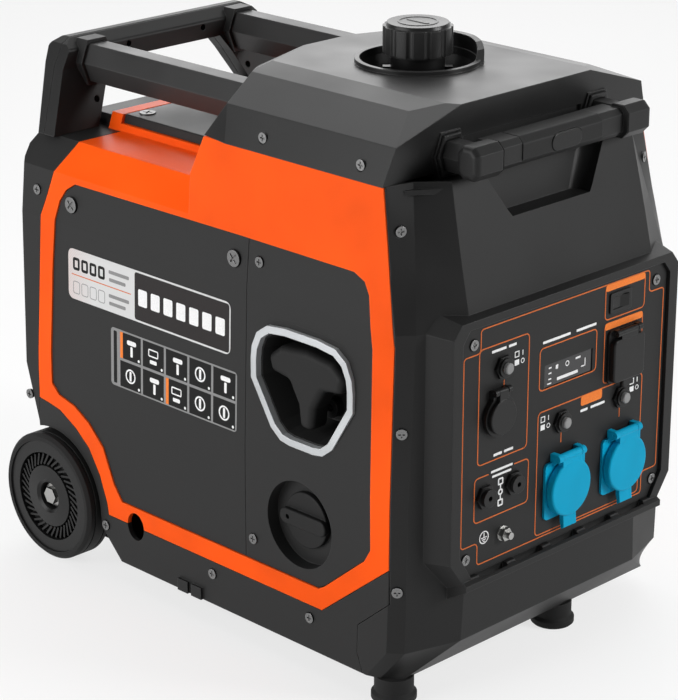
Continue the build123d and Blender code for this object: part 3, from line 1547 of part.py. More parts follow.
save(cylinder_head, "cylinder_head")
muffler_x = -140.0
with BuildPart() as muffler:
    with BuildSketch(Plane.XY.offset(130)):
        with Locations((muffler_x, 40)):
            Rectangle(90, 130)
    extrude(amount=100)
    fillet(muffler.edges().filter_by(Axis.Y), radius=20)
    with BuildSketch(Plane.XY.offset(base_z + wall)):
        with Locations((muffler_x, 60)):
            Rectangle(40, 30)
    extrude(amount=110)
    with BuildSketch(face_on(-250)):
        with Locations((62, 172)):
            Circle(14)
            Circle(11.5, mode=Mode.SUBTRACT)
    extrude(amount=70)
    with BuildSketch(face_on(muffler_x + 40)):
        with Locations((10, 222)):
            Circle(11)
    extrude(amount=pulley_x - 30 - 42.5 - muffler_x - 40)
save(muffler, "muffler")
with BuildPart() as inverter_module:
    with BuildSketch(Plane.XY.offset(base_z + wall)):
        with Locations((182, 0)):
            Rectangle(44, 220)
    extrude(amount=54)
    for i in range(13):
        with BuildSketch(Plane.XY.offset(base_z + wall + 53)):
            with Locations((182, -90 + 15 * i)):
                Rectangle(44, 3)
        extrude(amount=26)
save(inverter_module, "inverter_module")
filter_y = (91.0, half_width - 25)
with BuildPart() as carburettor:
    with BuildSketch(side(filter_y[0] - 0.4)):
        with Locations((pulley_x - 30, 250)):
            Circle(15)
    extrude(amount=40.1)
    with BuildSketch(Plane.XY.offset(225)):
        with Locations((pulley_x - 30, 72)):
            Circle(16)
    extrude(amount=30)
save(carburettor, "carburettor")
with BuildPart() as air_filter_box:
    with BuildSketch(Plane.XY.offset(200)):
        with Locations((pulley_x - 30, sum(filter_y) / 2)):
            RectangleRounded(110, filter_y[1] - filter_y[0], 10)
    extrude(amount=90)
save(air_filter_box, "air_filter_box")
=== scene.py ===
import bpy
import math
from mathutils import Euler, Matrix, Vector


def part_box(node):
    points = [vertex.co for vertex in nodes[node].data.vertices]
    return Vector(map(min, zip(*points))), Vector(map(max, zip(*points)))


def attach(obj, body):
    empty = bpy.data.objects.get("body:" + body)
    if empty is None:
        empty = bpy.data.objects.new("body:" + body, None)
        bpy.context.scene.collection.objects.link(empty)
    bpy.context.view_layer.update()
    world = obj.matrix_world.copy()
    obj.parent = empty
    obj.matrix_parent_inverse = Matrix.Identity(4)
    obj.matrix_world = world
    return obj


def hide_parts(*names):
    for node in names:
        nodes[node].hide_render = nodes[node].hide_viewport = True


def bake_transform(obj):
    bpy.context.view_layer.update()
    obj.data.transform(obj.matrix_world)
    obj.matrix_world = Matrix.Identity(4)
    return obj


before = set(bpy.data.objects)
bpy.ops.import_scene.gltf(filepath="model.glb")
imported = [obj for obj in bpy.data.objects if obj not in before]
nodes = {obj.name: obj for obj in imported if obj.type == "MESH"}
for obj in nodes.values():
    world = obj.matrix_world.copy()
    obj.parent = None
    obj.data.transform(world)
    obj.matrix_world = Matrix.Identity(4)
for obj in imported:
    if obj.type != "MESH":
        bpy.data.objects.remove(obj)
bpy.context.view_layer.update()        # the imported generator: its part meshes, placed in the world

scene = bpy.context.scene
scene.view_settings.view_transform = "Standard"
mm = 0.001
print("frame loaded:", len(nodes), "nodes")


# small tools
def linear(hexColour):
    parts = [int(hexColour[i:i + 2], 16) / 255 for i in (1, 3, 5)]
    return [c / 12.92 if c < 0.04045 else ((c + 0.055) / 1.055) ** 2.4 for c in parts] + [1.0]


def addNode(tree, kind, inputs=None, links=None, **settings):
    node = tree.nodes.new(kind)
    for key, value in settings.items():
        setattr(node, key, value)
    for key, value in (inputs or {}).items():
        node.inputs[key].default_value = value
    for key, socket in (links or {}).items():
        tree.links.new(socket, node.inputs[key])
    return node


def startMaterial(name):
    material = bpy.data.materials.new(name)
    material.use_nodes = True
    tree = material.node_tree
    return material, tree, tree.nodes["Principled BSDF"]


def deselectAll():
    bpy.ops.object.select_all(action="DESELECT")


def onlySelect(piece):
    deselectAll()
    piece.select_set(True)
    bpy.context.view_layer.objects.active = piece


def applyModifier(piece, kind, **settings):
    onlySelect(piece)
    modifier = piece.modifiers.new(kind.title(), kind)
    for key, value in settings.items():
        setattr(modifier, key, value)
    bpy.ops.object.modifier_apply(modifier=modifier.name)


def setDown(piece, spot, turn):
    # moves a piece from the drawing plane to its place on the machine, kept in the mesh
    piece.matrix_world = Matrix.Translation(spot) @ turn.to_matrix().to_4x4()
    onlySelect(piece)
    bpy.ops.object.transform_apply(location=True, rotation=True, scale=True)


def finishAs(name, marks, material, body):
    # joins marks of one colour into a named piece that moves with its body
    onlySelect(marks[0])
    for mark in marks:
        mark.select_set(True)
    if len(marks) > 1:
        bpy.ops.object.join()
    piece = marks[0]
    piece.name = name
    piece.data.name = name
    piece.data.materials.append(material)
    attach(piece, body)


def touch(node, start, direction):
    # where a straight line meets a part of the frame, and the way the surface faces there
    found, spot, normal, _ = nodes[node].ray_cast(Vector(start), Vector(direction))
    if not found:
        raise RuntimeError("nothing of " + node + " at " + str(start))
    return spot, normal


# Moulded, painted and metal finishes all have a fine grain, a soft cloud of tone and edges
# painted paler, partly as wear and partly as a painted highlight. Widths and depths are in
# millimetres.
surface = {"cloud": 71.4, "cloudShade": (0.9, 1.1), "cloudRough": 0.05, "bevelSamples": 6,
           "edgeTurn": (0.995, 0.86)}   # cosines of the turn where an edge painted paler, for wear and as a painted highlight, starts and ends


def grainedFinish(name, look):
    material, tree, shader = startMaterial(name)
    place = addNode(tree, "ShaderNodeTexCoord")
    grain = addNode(tree, "ShaderNodeTexNoise", {"Scale": 1 / (look["grain"] * mm), "Detail": 3.0,
                    "Roughness": 0.6}, {"Vector": place.outputs["Object"]})
    cloud = addNode(tree, "ShaderNodeTexNoise", {"Scale": 1 / (surface["cloud"] * mm),
                    "Detail": 2.0}, {"Vector": place.outputs["Object"]})
    rounded = addNode(tree, "ShaderNodeBevel", {"Radius": look["radius"] * mm},
                      samples=surface["bevelSamples"])
    flat = addNode(tree, "ShaderNodeNewGeometry")
    agree = addNode(tree, "ShaderNodeVectorMath", None, {0: rounded.outputs["Normal"],
                    1: flat.outputs["Normal"]}, operation="DOT_PRODUCT")
    edge = addNode(tree, "ShaderNodeMapRange", {"From Min": surface["edgeTurn"][0],
                   "From Max": surface["edgeTurn"][1], "To Min": 0.0,
                   "To Max": look["edgeMix"]}, {"Value": agree.outputs["Value"]})
    # edges lightened in the base colour by the rounded-normal mask: partly wear, partly a painted
    # highlight
    wornAndHighlit = addNode(tree, "ShaderNodeMath", None, {0: edge.outputs["Result"],
                   1: grain.outputs["Fac"]}, operation="MULTIPLY")
    shade = addNode(tree, "ShaderNodeMapRange", {"From Min": 0.3, "From Max": 0.7,
                    "To Min": surface["cloudShade"][0], "To Max": surface["cloudShade"][1]},
                    {"Value": cloud.outputs["Fac"]})
    base = addNode(tree, "ShaderNodeMix", {6: linear(look["colour"]), 7: linear(look["edge"])},
                   {0: wornAndHighlit.outputs["Value"]}, data_type="RGBA")
    toned = addNode(tree, "ShaderNodeVectorMath", None, {0: base.outputs[2],
                    "Scale": shade.outputs["Result"]}, operation="SCALE")
    dull = addNode(tree, "ShaderNodeMapRange", {"From Min": 0.3, "From Max": 0.7,
                   "To Min": look["rough"] - surface["cloudRough"],
                   "To Max": look["rough"] + surface["cloudRough"]},
                   {"Value": cloud.outputs["Fac"]})
    bump = addNode(tree, "ShaderNodeBump", {"Strength": 1.0, "Distance": look["depth"] * mm},
                   {"Height": grain.outputs["Fac"], "Normal": rounded.outputs["Normal"]})
    tree.links.new(toned.outputs["Vector"], shader.inputs["Base Color"])
    tree.links.new(dull.outputs["Result"], shader.inputs["Roughness"])
    tree.links.new(bump.outputs["Normal"], shader.inputs["Normal"])
    shader.inputs["Specular IOR Level"].default_value = look.get("gloss", 0.25)
    shader.inputs["Coat Weight"].default_value = look.get("coat", 0.0)
    shader.inputs["Coat Roughness"].default_value = look.get("coatRough", 0.1)
    shader.inputs["Metallic"].default_value = look.get("metal", 0.0)
    return material


# Moulded ABS: dark pigment and spark-eroded grain that scatters light.
# The real grain is about 0.3 mm wide and is drawn coarser, so that it shows.
housingLook = {"colour": "#232323", "edge": "#6A6A6A", "rough": 0.44, "grain": 1.3,
               "depth": 0.035, "radius": 1.0, "edgeMix": 0.45, "gloss": 0.2}
blackAbs = grainedFinish("spark eroded black ABS", housingLook)
coverAbs = grainedFinish("satin black ABS", dict(housingLook, rough=0.36, depth=0.022, gloss=0.24))
doorAbs = grainedFinish("fine grain black ABS", dict(housingLook, colour="#252525", rough=0.5,
                        grain=0.9, depth=0.03, edgeMix=0.3))
# Polycarbonate film over the panel: matt and nearly smooth.
panelFilm = grainedFinish("matt polycarbonate overlay", dict(housingLook, rough=0.5, grain=0.7,
                          depth=0.008, radius=0.5, edgeMix=0.2))
# Soft elastomer for hands: darker and duller than the shells.
rubberGrip = grainedFinish("soft touch black TPE", dict(housingLook, colour="#1C1C1C", rough=0.55,
                           grain=0.8, depth=0.05, edgeMix=0.35))
# Lacquered ABS: saturated orange with faint orange peel.
orangePaint = grainedFinish("gloss orange lacquered ABS", {"colour": "#FF590F",
                            "edge": "#FF8A4A", "rough": 0.34, "grain": 3.5, "depth": 0.012,
                            "radius": 1.4, "edgeMix": 0.5, "gloss": 0.07, "coat": 0.03,
                            "coatRough": 0.15})
# Nylon of the sockets: cyan-blue, smooth and waxy.
blueNylon = grainedFinish("cyan blue polyamide", {"colour": "#08A2CB", "edge": "#4CC3E0",
                          "rough": 0.42, "grain": 1.6, "depth": 0.01, "radius": 0.6,
                          "edgeMix": 0.4, "gloss": 0.08})
# Satin powder coat over tube: even and slightly pebbled.
powderCoat = grainedFinish("satin black powder coat", {"colour": "#2E2E2E", "edge": "#7A7A7A",
                           "rough": 0.38, "grain": 1.0, "depth": 0.02, "radius": 1.6,
                           "edgeMix": 0.45})
blackNylon = grainedFinish("smooth black nylon", {"colour": "#161616", "edge": "#505050",
                           "rough": 0.36, "grain": 0.8, "depth": 0.008, "radius": 0.5,
                           "edgeMix": 0.4})
greyBoot = grainedFinish("translucent grey PVC boot", {"colour": "#8C8C8C", "edge": "#C4C4C4",
                         "rough": 0.35, "grain": 1.2, "depth": 0.01, "radius": 0.6,
                         "edgeMix": 0.5})
silverPaint = grainedFinish("satin silver paint", {"colour": "#C6C9CB", "edge": "#F2F3F4",
                            "rough": 0.32, "grain": 0.8, "depth": 0.01, "radius": 0.9,
                            "edgeMix": 0.6, "metal": 0.35})
# Rubber: matt black, with edges painted paler for wear and as a painted highlight.
tyreRubber = grainedFinish("solid rubber", {"colour": "#1D1D1D", "edge": "#4A4A4A", "rough": 0.7,
                           "grain": 1.8, "depth": 0.09, "radius": 1.2, "edgeMix": 0.5})
# Bare and plated metals: castings are rough, machined and plated faces smoother.
castAlloy = grainedFinish("as cast aluminium", {"colour": "#9A9A98", "edge": "#C8C8C6",
                          "rough": 0.55, "grain": 1.6, "depth": 0.12, "radius": 0.8,
                          "edgeMix": 0.5, "metal": 1.0})
machinedIron = grainedFinish("machined iron", {"colour": "#5C5A58", "edge": "#8E8C8A",
                             "rough": 0.45, "grain": 0.9, "depth": 0.02, "radius": 0.5,
                             "edgeMix": 0.5, "metal": 1.0})
tintedSteel = grainedFinish("heat tinted steel", {"colour": "#6E5E4C", "edge": "#9C8E7C",
                            "rough": 0.42, "grain": 2.4, "depth": 0.03, "radius": 0.8,
                            "edgeMix": 0.5, "metal": 1.0})
zincLook = {"colour": "#A8A8A6", "edge": "#E2E2E0", "rough": 0.3, "grain": 0.7, "depth": 0.012,
            "radius": 0.35, "edgeMix": 0.7, "metal": 1.0}
zincPlate = grainedFinish("bright zinc plated steel", zincLook)
darkZinc = grainedFinish("dark zinc plated steel", dict(zincLook, colour="#7C7C7C",
                         edge="#C8C8C8"))
# Acrylic window: smoked and glossy.
displayAcrylic = grainedFinish("smoked acrylic window", {"colour": "#1B1B1D", "edge": "#3A3A3C",
                               "rough": 0.14, "grain": 5.0, "depth": 0.004, "radius": 0.4,
                               "edgeMix": 0.3, "coat": 0.5, "coatRough": 0.05})

# Screen ink: opaque, slightly uneven where the mesh laid it down. The real mesh is finer.
inkLook = {"mesh": 1.11, "shade": (0.9, 1.04), "smoother": 0.05, "duller": 0.08, "gloss": 0.12}


def printedInk(name, colour, rough):
    material, tree, shader = startMaterial(name)
    place = addNode(tree, "ShaderNodeTexCoord")
    mesh = addNode(tree, "ShaderNodeTexNoise", {"Scale": 1 / (inkLook["mesh"] * mm),
                   "Detail": 2.0}, {"Vector": place.outputs["Object"]})
    tone = addNode(tree, "ShaderNodeMapRange", {"From Min": 0.3, "From Max": 0.7,
                   "To Min": inkLook["shade"][0], "To Max": inkLook["shade"][1]},
                   {"Value": mesh.outputs["Fac"]})
    inked = addNode(tree, "ShaderNodeVectorMath", {0: linear(colour)[:3]},
                    {"Scale": tone.outputs["Result"]}, operation="SCALE")
    dull = addNode(tree, "ShaderNodeMapRange", {"To Min": rough - inkLook["smoother"],
                   "To Max": rough + inkLook["duller"]}, {"Value": mesh.outputs["Fac"]})
    tree.links.new(inked.outputs["Vector"], shader.inputs["Base Color"])
    tree.links.new(dull.outputs["Result"], shader.inputs["Roughness"])
    shader.inputs["Specular IOR Level"].default_value = inkLook["gloss"]
    return material


orangeInk = printedInk("orange screen ink", "#D6703A", 0.5)
orangeTab = printedInk("solid orange screen ink", "#F4843A", 0.5)
whiteInk = printedInk("white screen ink", "#F4F4F4", 0.5)
greyInk = printedInk("grey screen ink", "#8E8E8E", 0.5)
darkInk = printedInk("dark brown vinyl", "#2E2B2B", 0.45)
blackInk = printedInk("black vinyl", "#161616", 0.4)
print("materials ready")

# what each part of the frame is finished in
finishes = [
    (blackAbs, ["base_tub", "rear_cover", "front_housing", "carry_handle_rear",
                "carry_handle_front", "handle_crossbar", "recoil_housing", "air_filter_box"]),
    (coverAbs, ["top_cover", "service_cover", "handle_sockets", "fuel_cap", "fuel_cap_insert"]),
    (doorAbs, ["maintenance_door", "recoil_cover", "right_panel"]),
    (panelFilm, ["control_panel"]),
    (rubberGrip, ["handle_grip", "starter_handle", "choke_knob"]),
    (orangePaint, ["side_frame_left", "side_frame_right"]),
    (blueNylon, ["ac_sockets", "ac_lid_left", "ac_lid_right"]),
    (powderCoat, ["side_rails", "handle_tubes"]),
    (blackNylon, ["eco_switch", "eco_rocker", "usb_socket", "usb_cap", "dc_socket", "dc_cap",
                  "breaker_collars", "parallel_ports", "handle_button", "hub_left", "hub_right",
                  "fuel_tank", "recoil_pulley"]),
    (greyBoot, ["dc_breaker_button", "ac_breaker_left_button", "ac_breaker_right_button"]),
    (silverPaint, ["window_trim"]),
    (tyreRubber, ["tyre_left", "tyre_right", "front_feet"]),
    (castAlloy, ["engine_block", "cylinder_head", "carburettor", "inverter_module"]),
    (machinedIron, ["rotor"]),
    (tintedSteel, ["muffler"]),
    (darkZinc, ["housing_screws", "door_lock_rear", "door_lock_front"]),
    (zincPlate, ["earth_terminal", "axle"]),
    (displayAcrylic, ["display"]),
]
for material, names in finishes:
    for name in names:
        nodes[name].data.materials.clear()
        nodes[name].data.materials.append(material)
print("frame parts finished")


# flat printed marks, with sizes in millimetres
def addPlate(spot, turn, size, thick, corner=0.0, line=0.0, notch=0.0, gap=None):
    # a thin plate or, with line, a frame of that line width; gap opens its upper side
    deselectAll()
    bpy.ops.mesh.primitive_plane_add(size=1)
    piece = bpy.context.object
    piece.scale = (size[0] * mm, size[1] * mm, 1)
    bpy.ops.object.transform_apply(scale=True)
    bpy.ops.object.mode_set(mode="EDIT")
    bpy.ops.mesh.select_mode(type="VERT")
    bpy.ops.mesh.select_all(action="SELECT")
    if notch:
        bpy.ops.mesh.bevel(offset=notch * mm, segments=2, profile=0.0, affect="VERTICES")
        bpy.ops.mesh.select_all(action="SELECT")
    if corner:
        bpy.ops.mesh.bevel(offset=corner * mm, segments=4, affect="VERTICES")
    if line:
        bpy.ops.mesh.select_mode(type="FACE")
        bpy.ops.mesh.select_all(action="SELECT")
        bpy.ops.mesh.inset(thickness=line * mm)
        bpy.ops.mesh.delete(type="FACE")
    for edge in gap or ():
        bpy.ops.mesh.select_all(action="SELECT")
        bpy.ops.mesh.bisect(plane_co=(edge * mm, 0, 0), plane_no=(1, 0, 0))
    bpy.ops.object.mode_set(mode="OBJECT")
    if gap:
        for face in piece.data.polygons:
            face.select = gap[0] * mm < face.center.x < gap[1] * mm and face.center.y > 0
        bpy.ops.object.mode_set(mode="EDIT")
        bpy.ops.mesh.delete(type="FACE")
        bpy.ops.object.mode_set(mode="OBJECT")
    applyModifier(piece, "SOLIDIFY", thickness=thick * mm, offset=1.0)
    setDown(piece, spot, turn)
    return piece


def addRing(spot, turn, radius, line, thick, sides=32):
    # a flat ring, or a disc when the line is as wide as the radius
    deselectAll()
    bpy.ops.mesh.primitive_circle_add(vertices=sides, radius=radius * mm, fill_type="NGON")
    piece = bpy.context.object
    if line < radius:
        bpy.ops.object.mode_set(mode="EDIT")
        bpy.ops.mesh.select_mode(type="FACE")
        bpy.ops.mesh.select_all(action="SELECT")
        bpy.ops.mesh.inset(thickness=line * mm)
        bpy.ops.mesh.delete(type="FACE")
        bpy.ops.object.mode_set(mode="OBJECT")
    applyModifier(piece, "SOLIDIFY", thickness=thick * mm, offset=1.0)
    setDown(piece, spot, turn)
    return piece


# print on the control panel: places are y and z, sizes are width and height
facingFront = Euler((math.radians(90), 0, math.radians(90)))
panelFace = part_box("control_panel")[1].x
panelPrint = {
    "line": 1.0, "corner": 4.5, "tabCorner": 2.2, "headingCorner": 0.5,
    "border": {"at": (0, 219.7), "size": (249, 202.5), "notch": 19.5, "corner": 3.5},
    "frames": [
        {"at": (73, 304.7), "size": (52, 31)},
        {"at": (72.5, 260), "size": (50, 53.5)},
        {"at": (-76.5, 254.5), "size": (60, 99)},
        {"at": (2.2, 267.4), "size": (72, 37.4)},
        {"at": (-76.5, 175.6), "size": (66, 39.5), "gap": (-16, 15)},
        {"at": (33.2, 176), "size": (134.5, 110)},
    ],
    "tabs": [((73, 317.3), (51, 5.6)), ((72.5, 283.6), (49, 6.0)), ((33.7, 226.2), (27, 8.8))],
    "links": [((-76.4, 267.0), (1.0, 9)), ((-4.0, 201.5), (1.0, 9)), ((71.0, 202.4), (1.0, 8))],
    "headings": [((-83, 298.4), (17, 2.2)), ((-67, 298.4), (9, 2.2)), ((-13, 290.2), (34, 2.2)),
                 ((24, 290.2), (25, 2.2)), ((24.5, 217.6), (9, 2.2)), ((42, 217.6), (18, 2.2)),
                 ((-82, 209.6), (10, 2.2)), ((-69, 209.6), (11, 2.2)), ((-76.5, 195.6), (26, 2.0)),
                 ((-76.5, 191.2), (23, 2.0))],
    "switchMarks": [(-61.5, 285.5), (-27.5, 220.0), (86.5, 222.5)],
}
switchSign = {"up": 3.6, "down": 3.4, "across": 7, "openBox": (5.4, 5.2), "boxLine": 0.8,
              "filledBox": (5.2, 4.6), "bar": (0.9, 4.2), "ring": 2.2, "ringLine": 0.7}
earthSign = {"at": (-96.3, 141.0), "ring": 5.6, "line": 0.9, "stem": (0.9, 4.6), "stemUp": 1.9,
             "bars": [(-0.2, 7.0), (-1.9, 4.6), (-3.5, 2.2)], "barHeight": 0.8}
parallelSign = {"y": -77.6, "boxes": (184.5, 166.0), "box": (6.4, 6.2), "corner": 1.2,
                "line": 1.4, "ringAt": 175.3, "ring": 2.9, "ringLine": 1.5,
                "links": (179.7, 170.8), "link": (1.2, 3.6)}
# how far each layer stands off the panel, and how thick it is
panelLayers = {"print": (0.02, 0.16), "tab": (0.03, 0.18)}


def onPanel(y, z, layer):
    return Vector((panelFace + panelLayers[layer][0] * mm, y * mm, z * mm))


def panelPlate(y, z, size, layer="print", **shape):
    return addPlate(onPanel(y, z, layer), facingFront, size, panelLayers[layer][1], **shape)


def panelRing(y, z, radius, line):
    return addRing(onPanel(y, z, "print"), facingFront, radius, line, panelLayers["print"][1])


border = panelPrint["border"]
orangeMarks = [panelPlate(*border["at"], border["size"], corner=border["corner"],
                          line=panelPrint["line"], notch=border["notch"])]
for group in panelPrint["frames"]:
    orangeMarks.append(panelPlate(*group["at"], group["size"], corner=panelPrint["corner"],
                                  line=panelPrint["line"], gap=group.get("gap")))
orangeMarks += [panelPlate(*at, size) for at, size in panelPrint["links"]]
finishAs("panel_frame_lines", orangeMarks, orangeInk, "housing")
tabs = [panelPlate(*at, size, "tab", corner=panelPrint["tabCorner"])
        for at, size in panelPrint["tabs"]]
finishAs("panel_tabs", tabs, orangeTab, "housing")

whiteMarks = [panelPlate(*at, size, corner=panelPrint["headingCorner"])
              for at, size in panelPrint["headings"]]
for y, z in panelPrint["switchMarks"]:
    # an open box with a bar for on, a filled box with a ring for off
    upper, lower, beside = z + switchSign["up"], z - switchSign["down"], y + switchSign["across"]
    whiteMarks.append(panelPlate(y, upper, switchSign["openBox"], line=switchSign["boxLine"]))
    whiteMarks.append(panelPlate(y, lower, switchSign["filledBox"]))
    whiteMarks.append(panelPlate(beside, upper, switchSign["bar"]))
    whiteMarks.append(panelRing(beside, lower, switchSign["ring"], switchSign["ringLine"]))
# earth sign beside the stud
earthY, earthZ = earthSign["at"]
whiteMarks.append(panelRing(earthY, earthZ, earthSign["ring"], earthSign["line"]))
whiteMarks.append(panelPlate(earthY, earthZ + earthSign["stemUp"], earthSign["stem"]))
for rise, width in earthSign["bars"]:
    whiteMarks.append(panelPlate(earthY, earthZ + rise, (width, earthSign["barHeight"])))
# sign for machines joined in parallel
signY = parallelSign["y"]
for z in parallelSign["boxes"]:
    whiteMarks.append(panelPlate(signY, z, parallelSign["box"], corner=parallelSign["corner"],
                                 line=parallelSign["line"]))
whiteMarks.append(panelRing(signY, parallelSign["ringAt"], parallelSign["ring"],
                            parallelSign["ringLine"]))
for z in parallelSign["links"]:
    whiteMarks.append(panelPlate(signY, z, parallelSign["link"]))
finishAs("panel_white_marks", whiteMarks, whiteInk, "housing")

# lit bars and signs on the display window
displayPrint = {
    "lift": 0.02, "thick": 0.16,
    "levels": (266.0, 261.4, 256.4), "levelY": -19.5, "levelSize": (3.4, 1.2), "corner": 0.3,
    "signs": [((2.5, 254.2), (26, 2.6)), ((-20, 252.6), (5.0, 1.2)), ((-11, 265.0), (3.0, 3.6)),
              ((15.5, 266.0), (6.0, 1.8)), ((24.5, 260.0), (1.0, 7.0)),
              ((22.0, 257.0), (5.0, 1.0))],
    "dial": {"at": (2.0, 264.5), "radius": 2.4, "line": 0.8},
}
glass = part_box("display")[1].x + displayPrint["lift"] * mm


def displayPlate(y, z, size, corner=0.0):
    return addPlate(Vector((glass, y * mm, z * mm)), facingFront, size, displayPrint["thick"],
                    corner=corner)


litMarks = [displayPlate(displayPrint["levelY"], z, displayPrint["levelSize"])
            for z in displayPrint["levels"]]
litMarks += [displayPlate(*at, size, displayPrint["corner"]) for at, size in displayPrint["signs"]]
dial = displayPrint["dial"]
litMarks.append(addRing(Vector((glass, dial["at"][0] * mm, dial["at"][1] * mm)), facingFront,
                        dial["radius"], dial["line"], displayPrint["thick"]))
finishAs("display_marks", litMarks, whiteInk, "housing")
print("control panel printed")

# labels on the maintenance door: places are x and z, and the lean of the door is measured
farOut = -400        # the measuring lines start well outside the door
leanAt = {"x": -75, "upper": 300, "lower": 200}
upper, _ = touch("maintenance_door", (leanAt["x"] * mm, farOut * mm, leanAt["upper"] * mm),
                 (0, 1, 0))
lower, _ = touch("maintenance_door", (leanAt["x"] * mm, farOut * mm, leanAt["lower"] * mm),
                 (0, 1, 0))
doorLean = math.atan2(upper.y - lower.y, upper.z - lower.z)
facingDoor = Euler((math.radians(90) - doorLean, 0, 0))
# how far each layer stands off the door, and how thick it is
doorLayers = {"vinyl": (0.02, 0.14), "field": (0.16, 0.06), "print": (0.16, 0.05),
              "name": (0.22, 0.06), "sign": (0.22, 0.05)}


def onDoor(x, z, layer):
    spot, normal = touch("maintenance_door", (x * mm, farOut * mm, z * mm), (0, 1, 0))
    return spot + normal * doorLayers[layer][0] * mm


def doorPlate(x, z, size, layer, **shape):
    return addPlate(onDoor(x, z, layer), facingDoor, size, doorLayers[layer][1], **shape)


def doorRing(x, z, radius, line, layer, sides=32):
    return addRing(onDoor(x, z, layer), facingDoor, radius, line, doorLayers[layer][1], sides)


# Printed vinyl: light grey, with a fine diagonal hatch that fades out along the strip.
vinylLook = {"colour": "#D2D2D2", "hatch": "#C98F80", "pitch": 2.116, "fadeFrom": -182,
             "fadeTo": -145, "strength": 0.55, "speck": 2.0, "rough": (0.38, 0.5)}


def hatchedVinyl():
    material, tree, shader = startMaterial("light hatched vinyl")
    place = addNode(tree, "ShaderNodeTexCoord")
    # a wave of scale 1 has a period of 2 pi / 10, and the door shows it across two axes
    scale = 2 * math.pi / (10 * math.sqrt(2) * vinylLook["pitch"] * mm)
    hatch = addNode(tree, "ShaderNodeTexWave", {"Scale": scale, "Distortion": 0.0},
                    {"Vector": place.outputs["Object"]}, bands_direction="DIAGONAL")
    parts = addNode(tree, "ShaderNodeSeparateXYZ", None, {"Vector": place.outputs["Object"]})
    fade = addNode(tree, "ShaderNodeMapRange", {"From Min": vinylLook["fadeFrom"] * mm,
                   "From Max": vinylLook["fadeTo"] * mm, "To Min": vinylLook["strength"],
                   "To Max": 0.0}, {"Value": parts.outputs["X"]})
    line = addNode(tree, "ShaderNodeMath", None, {0: hatch.outputs["Fac"],
                   1: fade.outputs["Result"]}, operation="MULTIPLY")
    speck = addNode(tree, "ShaderNodeTexNoise", {"Scale": 1 / (vinylLook["speck"] * mm)},
                    {"Vector": place.outputs["Object"]})
    tone = addNode(tree, "ShaderNodeMix", {6: linear(vinylLook["colour"]),
                   7: linear(vinylLook["hatch"])}, {0: line.outputs["Value"]},
                   data_type="RGBA")
    dull = addNode(tree, "ShaderNodeMapRange", {"To Min": vinylLook["rough"][0],
                   "To Max": vinylLook["rough"][1]}, {"Value": speck.outputs["Fac"]})
    tree.links.new(tone.outputs[2], shader.inputs["Base Color"])
    tree.links.new(dull.outputs["Result"], shader.inputs["Roughness"])
    return material


label = {
    "middle": (-73.5, 279.5), "size": (211, 46), "corner": 6,
    "field": {"x": -29.5, "size": (120, 42.6), "corner": 2.5},
    "name": {"from": (-79, 279.0), "step": 16.4, "count": 7, "size": (11.5, 15), "corner": 1.6},
    "blocks": {"x": -168, "step": 11.4, "count": 4, "size": (9.2, 11.6), "corner": 2.2,
               "boldZ": 289.3, "boldLine": 2.6, "fineZ": 267.6, "fineLine": 0.7},
    "bars": [(-110.5, 292.6, 27), (-112.5, 285.6, 22), (-110.5, 271.0, 27), (-112.5, 264.2, 22)],
    "barHeight": 3.2, "barCorner": 1.0,
    "rule": {"at": (-134.5, 279.2), "size": (80, 0.9)},
}
strip = doorPlate(*label["middle"], label["size"], "vinyl", corner=label["corner"])
finishAs("door_label_strip", [strip], hatchedVinyl(), "door")
field = label["field"]
dark = doorPlate(field["x"], label["middle"][1], field["size"], "field", corner=field["corner"])
finishAs("door_label_field", [dark], darkInk, "door")
# plain blocks where a name would stand
nameRow = label["name"]
nameBlocks = [doorPlate(nameRow["from"][0] + nameRow["step"] * i, nameRow["from"][1],
                        nameRow["size"], "name", corner=nameRow["corner"])
              for i in range(nameRow["count"])]
finishAs("door_label_blocks", nameBlocks, whiteInk, "door")


def blockRow(z, line):
    row = label["blocks"]
    return [doorPlate(row["x"] + row["step"] * i, z, row["size"], "print", corner=row["corner"],
                      line=line) for i in range(row["count"])]


finishAs("door_label_dark_blocks", blockRow(label["blocks"]["boldZ"], label["blocks"]["boldLine"]),
         blackInk, "door")
paleMarks = blockRow(label["blocks"]["fineZ"], label["blocks"]["fineLine"])
for x, z, width in label["bars"]:
    paleMarks.append(doorPlate(x, z, (width, label["barHeight"]), "print",
                               corner=label["barCorner"]))
finishAs("door_label_pale_bars", paleMarks, greyInk, "door")
rule = doorPlate(*label["rule"]["at"], label["rule"]["size"], "print")
finishAs("door_label_rule", [rule], orangeInk, "door")

# sheet of plain signs below the strip: a grid of dark cells with simple shapes
sheet = {"at": (-40.5, 217), "size": (162, 53), "corner": 3.5, "columns": 5, "rows": 2,
         "first": (-95.4, 230.0), "step": (30.1, 26.2), "cell": (27.4, 23.8),
         "margin": {"at": (-115.7, 217), "size": (4.4, 48), "corner": 1},
         "tabCells": [(0, 0), (2, 1)], "tabAcross": -11.9, "tabWidth": 3.6,
         "dialCells": [(3, 0), (3, 1), (4, 1), (0, 1)]}
